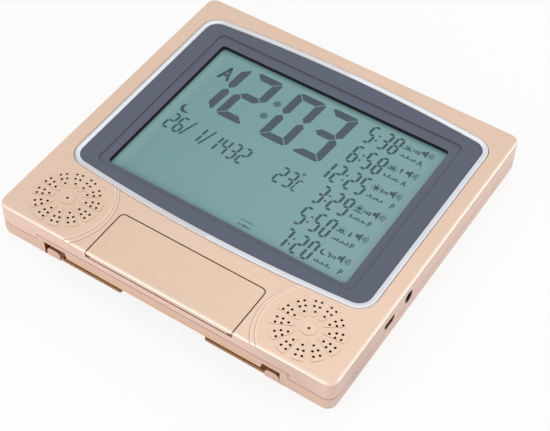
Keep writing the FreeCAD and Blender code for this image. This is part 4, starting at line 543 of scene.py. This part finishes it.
def letter(into, text, x, y, height, width_share=1.0, weight=0.0):
    """A plain capital, centred at (x, y); weight thickens its strokes."""
    curve = bpy.data.curves.new("letter", "FONT")
    curve.body, curve.offset = text, weight
    holder = bpy.data.objects.new("letter", curve)
    bpy.context.scene.collection.objects.link(holder)
    bpy.context.view_layer.update()
    drawn = holder.evaluated_get(bpy.context.evaluated_depsgraph_get()).to_mesh()
    part = bmesh.new()
    part.from_mesh(drawn)
    bpy.data.objects.remove(holder)
    low = [min(v.co[i] for v in part.verts) for i in (0, 1)]
    high = [max(v.co[i] for v in part.verts) for i in (0, 1)]
    size = height / (high[1] - low[1])
    bmesh.ops.translate(part, verts=part.verts, vec=(-(low[0] + high[0]) / 2,
                                                     -(low[1] + high[1]) / 2, 0))
    bmesh.ops.scale(part, verts=part.verts, vec=(size * width_share, size, 1))
    bmesh.ops.translate(part, verts=part.verts, vec=(x, y, 0))
    join_flat(into, part)


def film(into, name, material, level, thickness=FILM_THICKNESS, body="root",
         origin=(ART_X, ART_Y)):
    """Turns flat artwork in millimetres into a thin film at a level, riding on a body."""
    bmesh.ops.translate(into, verts=into.verts, vec=(origin[0], origin[1], 0))
    bmesh.ops.remove_doubles(into, verts=into.verts, dist=0.01)
    bmesh.ops.recalc_face_normals(into, faces=into.faces)
    down = [f for f in into.faces if f.normal.z < 0]
    if down:
        bmesh.ops.reverse_faces(into, faces=down)
    bmesh.ops.scale(into, verts=into.verts, vec=(MM, MM, 1))
    raised = bmesh.ops.extrude_face_region(into, geom=into.faces[:])["geom"]
    tops = [v for v in raised if isinstance(v, bmesh.types.BMVert)]
    bmesh.ops.translate(into, verts=tops, vec=(0, 0, thickness))
    bmesh.ops.translate(into, verts=into.verts, vec=(0, 0, level))
    bmesh.ops.recalc_face_normals(into, faces=into.faces)
    mesh = bpy.data.meshes.new(name)
    into.to_mesh(mesh)
    into.free()
    piece = bpy.data.objects.new(name, mesh)
    bpy.context.scene.collection.objects.link(piece)
    mesh.materials.append(material)
    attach(piece, body)


SEGMENT_LEVEL = glass_high.z + FILM_LIFT
time_art = bmesh.new()
figures(time_art, "1203", (-77.9, -54.8, -23.3, 0.0), 26.0, width=20.0, height=44.5,
        stroke=5.35, gap=0.9, slant=0.065, corner=3.8)
film(time_art, "time_figures", dark_ink, SEGMENT_LEVEL)

colon_art = bmesh.new()
for colon_x, colon_y in ((-26.8, 53.5), (-28.2, 40.7)):
    dot(colon_art, colon_x, colon_y, radius=2.45, segments=32)
film(colon_art, "time_colon", pale_ink, SEGMENT_LEVEL)

DATE_LOW, DATE_TALL, DATE_STROKE, DATE_GAP, DATE_SLANT = -1.2, 14.2, 1.5, 0.5, 0.08
date_art = bmesh.new()
figures(date_art, "26 11432", (-75.4, -68.7, -62.0, -55.2, -43.5, -36.5, -29.8, -23.0), DATE_LOW,
        5.6, DATE_TALL, DATE_STROKE, DATE_GAP, DATE_SLANT)
for stroke_x in (-59.9, -45.8):
    plate(date_art, stroke_x, 6.1, width=1.25, height=13.8, lean=3.9)
figures(date_art, "23", (3.5, 10.1), DATE_LOW, 5.7, DATE_TALL, DATE_STROKE, DATE_GAP, DATE_SLANT)
figures(date_art, "C", (16.9,), DATE_LOW, width=4.0, height=10.2, stroke=1.1, gap=0.3,
        slant=DATE_SLANT)
ring_piece(date_art, 18.3, 13.7, inner=0.55, outer=1.15, start=0, sweep=360, steps=20)
film(date_art, "date_and_temperature", fine_ink, SEGMENT_LEVEL)

ROW_LOW, ROW_PITCH = 56.0, 19.28
ROW_LOWS = [ROW_LOW - row * ROW_PITCH for row in range(6)]
ROW_TIMES = (" 538", " 658", "1225", " 329", " 550", " 720")
times_art = bmesh.new()
for low, text in zip(ROW_LOWS, ROW_TIMES):
    figures(times_art, text, (23.7, 31.1, 40.7, 47.9), low, width=5.6, height=15.9, stroke=1.65,
            gap=0.55, slant=0.075)
    for colon_x, rise in ((39.4, 9.8), (38.9, 5.2)):
        dot(times_art, colon_x, low + rise, radius=0.75, segments=16)
film(times_art, "row_times", fine_ink, SEGMENT_LEVEL)

HALF_DAY = (("A", 70.0), ("A", 70.0), ("P", 73.3), ("P", 69.2), ("P", 69.2), ("P", 73.3))
marks_art = bmesh.new()
letter(marks_art, "A", -67.2, 58.5, height=12.0, width_share=0.70, weight=0.035)
for low, (text, text_x) in zip(ROW_LOWS, HALF_DAY):
    letter(marks_art, text, text_x, low + 3.9, height=4.3, width_share=0.8, weight=0.02)
film(marks_art, "half_day_marks", dark_ink, SEGMENT_LEVEL)


def crescent(into, x, y, radius, thickness, facing):
    """A disc whose near side is moved through its chord."""
    part = bmesh.new()
    rim = bmesh.ops.create_circle(part, cap_ends=True, segments=36, radius=radius)["verts"]
    chord = radius * 0.35
    depth = (radius + chord - thickness) / (radius - chord)
    for vert in rim:
        if vert.co.x > chord:
            vert.co.x = chord - (vert.co.x - chord) * depth
    bmesh.ops.triangulate(part, faces=part.faces[:])
    bmesh.ops.rotate(part, verts=part.verts, matrix=Matrix.Rotation(math.radians(facing), 3, "Z"))
    bmesh.ops.translate(part, verts=part.verts, vec=(x, y, 0))
    join_flat(into, part)


def loudspeaker(into, x, y):
    """A small box, a horn that flares from it and three waves, each thinner than the last."""
    wide, tall, flare, mouth = 1.7, 2.6, 2.6, x - 0.6
    plate(into, x - 2.5, y, wide, tall)
    for vert in plate(into, x - 0.7, y, wide, tall):
        if vert.co.x > mouth:
            vert.co.y = y + (vert.co.y - y) * flare
    for wave, radius in enumerate((1.8, 3.1, 4.4)):
        ring_piece(into, mouth, y, radius, radius + 0.65 - 0.08 * wave, start=-36, sweep=72,
                   steps=8)


def sun(into, x, y, radius, rays, first, spread, share):
    """A whole disc, or its upper half for a share under 360, with short rays."""
    part = bmesh.new()
    dot(part, x, y, radius)
    if share < 360:
        bmesh.ops.bisect_plane(part, geom=part.verts[:] + part.edges[:] + part.faces[:],
                               plane_co=(x, y, 0), plane_no=(0, -1, 0), clear_outer=True)
    join_flat(into, part)
    for ray in range(rays):
        angle = math.radians(first + spread * ray)
        part = bmesh.new()
        plate(part, radius + 1.05, 0, width=1.1, height=0.55)
        bmesh.ops.rotate(part, verts=part.verts, matrix=Matrix.Rotation(angle, 3, "Z"))
        bmesh.ops.translate(part, verts=part.verts, vec=(x, y, 0))
        join_flat(into, part)


def arrow(into, x, y, up):
    """A shaft and a three cornered head, upward for 1 and downward for -1."""
    plate(into, x, y - up * 0.5, width=0.75, height=2.4)
    head_y = y + up * 1.3
    turned = Matrix.Rotation(math.radians(90 * up), 3, "Z")
    for vert in dot(into, x, head_y, radius=1.4, segments=3):
        offset = turned @ Vector((vert.co.x - x, vert.co.y - head_y, 0))
        vert.co = Vector((x, head_y, 0)) + offset


# The day marks: suns and a moon, most with a skyline, then an arrow or three ticks, and seven
# bars below them. A sun has its rise, radius, rays, first ray, spread and share of the disc. A
# skyline has its offset, rise and width.
MARK_X, MARK_RISE = 58.4, 11.2
SUNS = ((-1.0, 1.6, 3, 45, 45, 180), (-1.0, 1.8, 5, 18, 36, 180), (0.0, 1.6, 8, 0, 45, 360),
        (0.3, 1.4, 8, 22.5, 45, 360), (-1.0, 1.8, 3, 45, 45, 180))
SKYLINES = {0: (0.0, -1.7, 6.0), 1: (0.0, -1.7, 6.0), 3: (0.2, -2.6, 5.4), 4: (0.0, -1.7, 6.0)}
ARROWS = {1: 1, 4: -1}
BAR_TALLS = (0.9, 1.9, 1.0, 2.5, 0.9, 1.5, 2.1)
DAYS_X, DAY_PITCH, TODAY = 6.7, 1.3, 3
day_art = bmesh.new()
crescent(day_art, -70.4, 19.1, radius=3.8, thickness=2.3, facing=40)
for row, low in enumerate(ROW_LOWS):
    y = low + MARK_RISE
    loudspeaker(day_art, 70.3, low + 12.5)
    if row < len(SUNS):
        rise, radius, rays, first, spread, share = SUNS[row]
        sun(day_art, MARK_X, y + rise, radius, rays, first, spread, share)
    else:
        crescent(day_art, MARK_X, y, radius=2.3, thickness=1.3, facing=30)
        dot(day_art, MARK_X + 2.7, y + 1.1, radius=0.6, segments=5)
    if row in SKYLINES:
        aside, rise, width = SKYLINES[row]
        plate(day_art, MARK_X + aside, y + rise, width, 0.7)
    if row in ARROWS:
        arrow(day_art, 64.0, y + 0.2, ARROWS[row])
    else:
        for step in range(3):
            plate(day_art, 62.3 + step * 1.6, y - 0.2, 1.05, 1.5 + 0.8 * ((step + row) % 3))
    for step in range(len(BAR_TALLS)):
        tall = BAR_TALLS[(step + row) % len(BAR_TALLS)]
        plate(day_art, 57.0 + step * 1.55, low + 2.7 + tall / 2, 1.1, tall)
for day in range(7):
    dot(day_art, DAYS_X + day * DAY_PITCH, -38.6, 0.75 if day == TODAY else 0.5, 12)
    plate(day_art, DAYS_X + day * DAY_PITCH, -35.4 + (0.6 if day % 2 else 0.0), 0.95, 0.6)
film(day_art, "day_marks", fine_ink, SEGMENT_LEVEL)


# ---- The flip-down lid ----------------------------------------------------------------------
# One moulded panel in the same lacquer, a touch deeper where it was sprayed apart from the
# case. It snaps on two moulded pins at its lower edge and covers the setting keys.
LID_GOLD = (0.705, 0.520, 0.385)
LID_GOLD_DEEP = (0.665, 0.480, 0.350)
LID_EDGE_SHADE = (0.300, 0.170, 0.105)
LID_EDGE_X, LID_EDGE_Y, LID_EDGE_LEAN = 48.4 * MM, -106.0 * MM, 0.6
lid_gold, tree, (x, y, z), across, lean = shell_finish("lid_lacquer", LID_GOLD, LID_GOLD_DEEP)
# Painted shade on the lid's upright side walls.
tint(lid_gold, LID_EDGE_SHADE, more(tree, across, LID_EDGE_X), less(tree, lean, LID_EDGE_LEAN),
     more(tree, y, LID_EDGE_Y))
coat(lid_gold, "keypad_lid")


# ---- The keys -------------------------------------------------------------------------------
# Eight dished caps moulded in satin grey, each with a plunger down to its switch. Their plain
# marks are printed in white on the floor of the dish.
KEY_GREY, KEY_GREY_SHADE = (0.30, 0.31, 0.34), (0.26, 0.27, 0.30)
KEY_WHITE, KEY_WHITE_SHADE = (0.80, 0.80, 0.78), (0.74, 0.74, 0.72)
DISH_DEPTH, MARK_SUNK, MARK_THICKNESS = 0.4 * MM, 0.05 * MM, 0.12 * MM
key_finish = finish("key_satin", KEY_GREY, KEY_GREY_SHADE, (0.4, 0.5), bump=0.05, speck=0.5)
key_print = finish("key_print", KEY_WHITE, KEY_WHITE_SHADE, (0.5, 0.6))
for number in range(1, 9):
    name = "key_%d" % number
    coat(key_finish, name)
    low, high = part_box(name)
    x, y = (low.x + high.x) / 2 / MM, (low.y + high.y) / 2 / MM
    mark = bmesh.new()
    if number in (1, 2):
        arrow(mark, x, y, 1 if number == 1 else -1)
    elif number in (3, 7):
        ring_piece(mark, x, y, inner=0.9, outer=1.4, start=0, sweep=360, steps=24)
        if number == 7:
            dot(mark, x, y, 0.45)
    elif number == 4:
        plate(mark, x, y, 2.2, 2.2)
    elif number in (5, 6):
        plate(mark, x, y, 2.8, 0.55)
        if number == 6:
            for rise in (0.9, -0.9):
                plate(mark, x, y + rise, 0.55, 1.1)
    else:
        crescent(mark, x, y, radius=1.5, thickness=0.8, facing=35)
    film(mark, name + "_mark", key_print, high.z - DISH_DEPTH - MARK_SUNK, MARK_THICKNESS, name,
         (0, 0))


# ---- The keypad and its board ---------------------------------------------------------------
# A glass fibre board under the well with eight tact switches, green solder mask on copper
# tracks. The main and socket boards are made the same way.
MASK_GREEN, TRACK_GREEN = (0.020, 0.125, 0.045), (0.045, 0.200, 0.075)
board = finish("solder_mask", MASK_GREEN, TRACK_GREEN, (0.24, 0.34), bump=0.05, speck=0.1,
               cloud_scale=90.0, Coat_Weight=0.4, Coat_Roughness=0.1)
tree = board.node_tree
track_where = place(tree, "ShaderNodeTexCoord")
tracks = place(tree, "ShaderNodeTexBrick",
               {"Scale": 110.0, "Mortar Size": 0.03, "Mortar Smooth": 0.2}, offset=0.5)
tree.links.new(track_where.outputs["Object"], tracks.inputs["Vector"])
tint(board, TRACK_GREEN, tracks.outputs["Fac"])
coat(board, "main_board", "keypad_board", "socket_board")

PART_BLACK, PART_BLACK_SHADE = (0.030, 0.030, 0.034), (0.022, 0.022, 0.026)
coat(finish("moulded_black", PART_BLACK, PART_BLACK_SHADE, (0.45, 0.6), bump=0.1, speck=0.6),
     "main_board_parts", "key_switches")


# ---- Behind the glass -----------------------------------------------------------------------
# A frosted acrylic light guide and a white moulded tray clamp the glass to the panel, and a
# striped rubber strip carries the signals down to the board.
ACRYLIC, ACRYLIC_SHADE = (0.80, 0.84, 0.82), (0.76, 0.81, 0.79)
TRAY_WHITE, TRAY_SHADE = (0.78, 0.78, 0.76), (0.73, 0.73, 0.71)
RUBBER_BLACK, RUBBER_SHADE = (0.030, 0.030, 0.032), (0.045, 0.045, 0.047)
coat(finish("frosted_acrylic", ACRYLIC, ACRYLIC_SHADE, (0.3, 0.45), bump=0.05), "light_guide")
coat(finish("white_moulding", TRAY_WHITE, TRAY_SHADE, (0.4, 0.5), bump=0.05), "lcd_tray")
coat(finish("soft_rubber", RUBBER_BLACK, RUBBER_SHADE, (0.7, 0.85), bump=0.2, speck=0.6,
            Specular_IOR_Level=0.15),
     "zebra_strip", "left_speaker_gasket", "right_speaker_gasket")


# ---- The speakers ---------------------------------------------------------------------------
# A pressed steel basket in black paint, a treated paper cone with pressed rings, and a
# ferrite magnet glued to the basket's back. A foam ring seals it to the grille.
BASKET_BLACK, BASKET_SHADE = (0.060, 0.060, 0.064), (0.048, 0.048, 0.052)
FERRITE_GREY, FERRITE_SHADE = (0.050, 0.050, 0.054), (0.036, 0.036, 0.040)
CONE_BLACK, CONE_SHADE = (0.016, 0.014, 0.013), (0.010, 0.009, 0.009)


def mapped(tree, **mapping):
    """Object coordinates after a move or a stretch."""
    where = place(tree, "ShaderNodeTexCoord")
    moved = place(tree, "ShaderNodeMapping", mapping)
    tree.links.new(where.outputs["Object"], moved.inputs["Vector"])
    return moved.outputs["Vector"]


def emboss(material, texture, strength, depth):
    """Lays a texture's relief over the finish's own."""
    tree = material.node_tree
    normal = tree.nodes["Principled BSDF"].inputs["Normal"]
    under = normal.links[0].from_socket
    relief = place(tree, "ShaderNodeBump", {"Strength": strength, "Distance": depth})
    tree.links.new(texture.outputs["Fac"], relief.inputs["Height"])
    tree.links.new(under, relief.inputs["Normal"])
    tree.links.new(relief.outputs["Normal"], normal)


coat(finish("basket_paint", BASKET_BLACK, BASKET_SHADE, (0.35, 0.5), bump=0.1, Metallic=0.3),
     "left_speaker_basket", "right_speaker_basket")
coat(finish("ferrite", FERRITE_GREY, FERRITE_SHADE, (0.5, 0.65), bump=0.25, speck=0.7),
     "left_speaker_magnet", "right_speaker_magnet")
for side in ("left", "right"):
    name = side + "_speaker_cone"
    low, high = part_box(name)
    paper = finish(side + "_cone_paper", CONE_BLACK, CONE_SHADE, (0.6, 0.8), bump=0.3,
                   speck=0.8, speck_scale=1200.0, Specular_IOR_Level=0.1)
    tree = paper.node_tree
    rings = place(tree, "ShaderNodeTexWave", {"Scale": 130.0}, wave_type="RINGS",
                  rings_direction="Z")
    to_centre = (-(low.x + high.x) / 2, -(low.y + high.y) / 2, 0)
    tree.links.new(mapped(tree, Location=to_centre), rings.inputs["Vector"])
    emboss(paper, rings, strength=0.4, depth=0.2 * MM)
    coat(paper, name)


# ---- The sockets ----------------------------------------------------------------------------
# A barrel jack in dark grey plastic with a plated centre pin, and a small flat data socket
# folded from nickel plated sheet. Both stand on their own board behind the right wall.
SOCKET_GREY, SOCKET_SHADE = (0.022, 0.021, 0.022), (0.016, 0.015, 0.016)
SHADED_DATA_NICKEL, DATA_NICKEL_SHADE = (0.17, 0.080, 0.058), (0.14, 0.066, 0.048)
PIN_TONE = (0.62, 0.60, 0.56)
PIN_Y, PIN_Z, PIN_R, PIN_EDGE_R = -27.5 * MM, 17.6 * MM, 1.3 * MM, 1.43 * MM
jack = finish("jack_plastic", SOCKET_GREY, SOCKET_SHADE, (0.35, 0.5), bump=0.08, speck=0.5)
tree = jack.node_tree
_, y, z = axes(tree)
pin = ramp(tree, reach(tree, y, z, PIN_Y, PIN_Z), PIN_EDGE_R, PIN_R)
tint(jack, PIN_TONE, pin)
tree.links.new(pin, tree.nodes["Principled BSDF"].inputs["Metallic"])
coat(jack, "power_jack")


def plated(name, tone, shade, roughness):
    """Metal with fine draw lines along X in its relief."""
    material = finish(name, tone, shade, roughness, bump=0.04, speck=0.4, Metallic=1.0)
    tree = material.node_tree
    lines = place(tree, "ShaderNodeTexNoise", {"Scale": 1.0, "Detail": 2.0})
    tree.links.new(mapped(tree, Scale=(60.0, 2500.0, 2500.0)), lines.inputs["Vector"])
    emboss(material, lines, strength=0.08, depth=RELIEF_DEPTH)
    return material


# The nickel shell is coloured dark red brown: painted shade in its opening.
coat(plated("data_shell_nickel", SHADED_DATA_NICKEL, DATA_NICKEL_SHADE, (0.4, 0.5)), "data_socket")


# ---- The screws -----------------------------------------------------------------------------
# Zinc plated cross recess screws: eight long ones through the back, four in the tray, six in
# the boards, and one shouldered screw with a washer in each leg's stub shaft.
ZINC, ZINC_SHADE = (0.56, 0.56, 0.57), (0.48, 0.48, 0.50)
coat(plated("zinc_plate", ZINC, ZINC_SHADE, (0.3, 0.42)), "case_screws", "tray_screws",
     "board_screws", "left_leg_screw", "right_leg_screw")


# ---- The fold-out legs ----------------------------------------------------------------------
# Two moulded arms that lie in the rebate along the lower back edge and turn a quarter out on
# their stub shafts. Their hubs are sprayed with the case. The arms, the hubs' level faces and
# the legs' sides take painted brown shade.
LEG_SIDE_SHADE_GOLD = (0.665, 0.455, 0.325)
ARM_SHADE, HUB_TOP_SHADE = (0.330, 0.152, 0.062), (0.380, 0.175, 0.075)
HUB_X, HUB_FROM_LEAN, HUB_TO_LEAN = 69.6 * MM, 0.25, 0.8
# The legs' sides take a darker painted shade.
leg_finish, tree, (x, y, z), across, lean = shell_finish("leg_lacquer", side_shade_tone=LEG_SIDE_SHADE_GOLD)
# Painted brown shade on the hubs' level faces.
tint(leg_finish, HUB_TOP_SHADE, ramp(tree, lean, HUB_FROM_LEAN, HUB_TO_LEAN))
# Painted brown shade on the arms.
tint(leg_finish, ARM_SHADE, less(tree, across, HUB_X))
coat(leg_finish, "left_leg", "right_leg")


# ---- The battery bay ------------------------------------------------------------------------
# Three penlight cells in plain printed cans, side by side and alternating, held by nickel
# plated leaves and springs. The door clips over them with a latch tab.
CAN_DARK, CAN_DARK_SHADE = (0.045, 0.047, 0.055), (0.034, 0.036, 0.044)
CAN_BAND, CAN_STEEL = (0.50, 0.22, 0.085), (0.60, 0.60, 0.60)
CONTACT_NICKEL, CONTACT_SHADE = (0.62, 0.61, 0.58), (0.54, 0.53, 0.50)
BAND_FROM, BAND_TO, CAN_END = 13.0 * MM, 19.5 * MM, 24.3 * MM
can = finish("printed_can", CAN_DARK, CAN_DARK_SHADE, (0.26, 0.34), bump=0.02,
             Coat_Weight=0.3, Coat_Roughness=0.15)
tree = can.node_tree
from_middle = combine(tree, "ABSOLUTE", axes(tree)[0])
tint(can, CAN_BAND, more(tree, from_middle, BAND_FROM), less(tree, from_middle, BAND_TO))
can_end = more(tree, from_middle, CAN_END)
tint(can, CAN_STEEL, can_end)
tree.links.new(can_end, tree.nodes["Principled BSDF"].inputs["Metallic"])
coat(can, "battery_cells")
coat(shell_finish("door_lacquer")[0], "battery_door")
coat(plated("contact_nickel", CONTACT_NICKEL, CONTACT_SHADE, (0.28, 0.4)), "battery_contacts")


# ---- The floor, the light and the camera ----------------------------------------------------
# A plain white floor that takes the clock's shadow and is clear from below, a wide soft lamp
# above, two that graze the front and right rims, a fill from the front, and a long lens.
FLOOR_SIDE, FLOOR_DROP, FLOOR_WHITE = 30.0, 0.3 * MM, 0.88
SHADOW_SHARE, NEAR_CONTACT = 0.15, 2.0 * MM
floor_mesh = bmesh.new()
bmesh.ops.create_grid(floor_mesh, x_segments=1, y_segments=1, size=FLOOR_SIDE / 2)
bmesh.ops.translate(floor_mesh, verts=floor_mesh.verts, vec=(0, 0, -FLOOR_DROP))
floor_data = bpy.data.meshes.new("floor")
floor_mesh.to_mesh(floor_data)
floor_mesh.free()
floor = bpy.data.objects.new("floor", floor_data)
bpy.context.scene.collection.objects.link(floor)


def mix_shaders(tree, kind, first, second, share):
    """Ends a tree in two shaders, the second one shown by a share."""
    mixed = place(tree, "ShaderNodeMixShader")
    end = place(tree, kind)
    for source, target in ((share, mixed.inputs["Fac"]), (first.outputs[0], mixed.inputs[1]),
                           (second.outputs[0], mixed.inputs[2]),
                           (mixed.outputs["Shader"], end.inputs["Surface"])):
        tree.links.new(source, target)


ground = bpy.data.materials.new("white_floor")
ground.use_nodes = True
tree = ground.node_tree
tree.nodes.clear()
white = place(tree, "ShaderNodeBsdfDiffuse", {"Color": rgba((FLOOR_WHITE,) * 3)})
clear = place(tree, "ShaderNodeBsdfTransparent")
path = place(tree, "ShaderNodeLightPath").outputs
facing = place(tree, "ShaderNodeNewGeometry").outputs
seen = combine(tree, "MAXIMUM",
               combine(tree, "MULTIPLY", path["Is Camera Ray"], 1.0 - SHADOW_SHARE),
               less(tree, path["Ray Length"], NEAR_CONTACT), facing["Backfacing"])
mix_shaders(tree, "ShaderNodeOutputMaterial", white, clear, seen)
floor_data.materials.append(ground)

WORLD_LIGHT, WHITE = 0.56, (1, 1, 1, 1)
world = bpy.data.worlds.new("studio")
bpy.context.scene.world = world
world.use_nodes = True
tree = world.node_tree
tree.nodes.clear()
studio = place(tree, "ShaderNodeBackground", {"Color": WHITE, "Strength": WORLD_LIGHT})
backdrop = place(tree, "ShaderNodeBackground", {"Color": WHITE, "Strength": 1.0})
path = place(tree, "ShaderNodeLightPath").outputs
seen = combine(tree, "MAXIMUM", path["Is Camera Ray"], path["Is Glossy Ray"],
               path["Is Transmission Ray"])
mix_shaders(tree, "ShaderNodeOutputWorld", studio, backdrop, seen)


def soft_lamp(name, stand_at, side, power, colour=(1.0, 1.0, 1.0)):
    """A square soft box turned to the origin."""
    lamp = bpy.data.lights.new(name, "AREA")
    lamp.shape, lamp.size, lamp.energy, lamp.color = "SQUARE", side, power, colour
    holder = bpy.data.objects.new(name, lamp)
    bpy.context.scene.collection.objects.link(holder)
    aim = -Vector(stand_at)
    holder.matrix_world = (Matrix.Translation(Vector(stand_at))
                           @ aim.to_track_quat("-Z", "Y").to_matrix().to_4x4())


soft_lamp("overhead_box", (-0.10, 0.50, 1.35), 0.8, 2.9)
soft_lamp("front_rim_box", (-0.47, -1.05, 0.80), 0.4, 4.2)
soft_lamp("right_rim_box", (1.06, 0.77, 0.50), 0.5, 7.0)
soft_lamp("side_fill", (-0.25, -1.25, 0.40), 0.9, 5.5, (1.0, 0.93, 0.95))

AZIMUTH, ELEVATION, ROLL = math.radians(31.554), math.radians(49.684), math.radians(2.037)
DISTANCE, TARGET = 785.165 * MM, Vector((23.898, -26.918, 27.325)) * MM
LENS, SENSOR = 90.643, 36.0
back = Vector((math.sin(AZIMUTH) * math.cos(ELEVATION), -math.cos(AZIMUTH) * math.cos(ELEVATION),
               math.sin(ELEVATION)))
level = Vector((math.cos(AZIMUTH), math.sin(AZIMUTH), 0))
rise = back.cross(level)
sideways = level * math.cos(ROLL) + rise * math.sin(ROLL)
upward = rise * math.cos(ROLL) - level * math.sin(ROLL)
lens = bpy.data.cameras.new("camera")
lens.lens, lens.sensor_width, lens.sensor_fit = LENS, SENSOR, "HORIZONTAL"
lens.clip_start, lens.clip_end = 0.01, 50.0
camera = bpy.data.objects.new("camera", lens)
bpy.context.scene.collection.objects.link(camera)
turned = Matrix((sideways, upward, back)).transposed().to_4x4()
camera.matrix_world = Matrix.Translation(TARGET + back * DISTANCE) @ turned
bpy.context.scene.camera = camera
bpy.context.scene.view_settings.view_transform = "Standard"
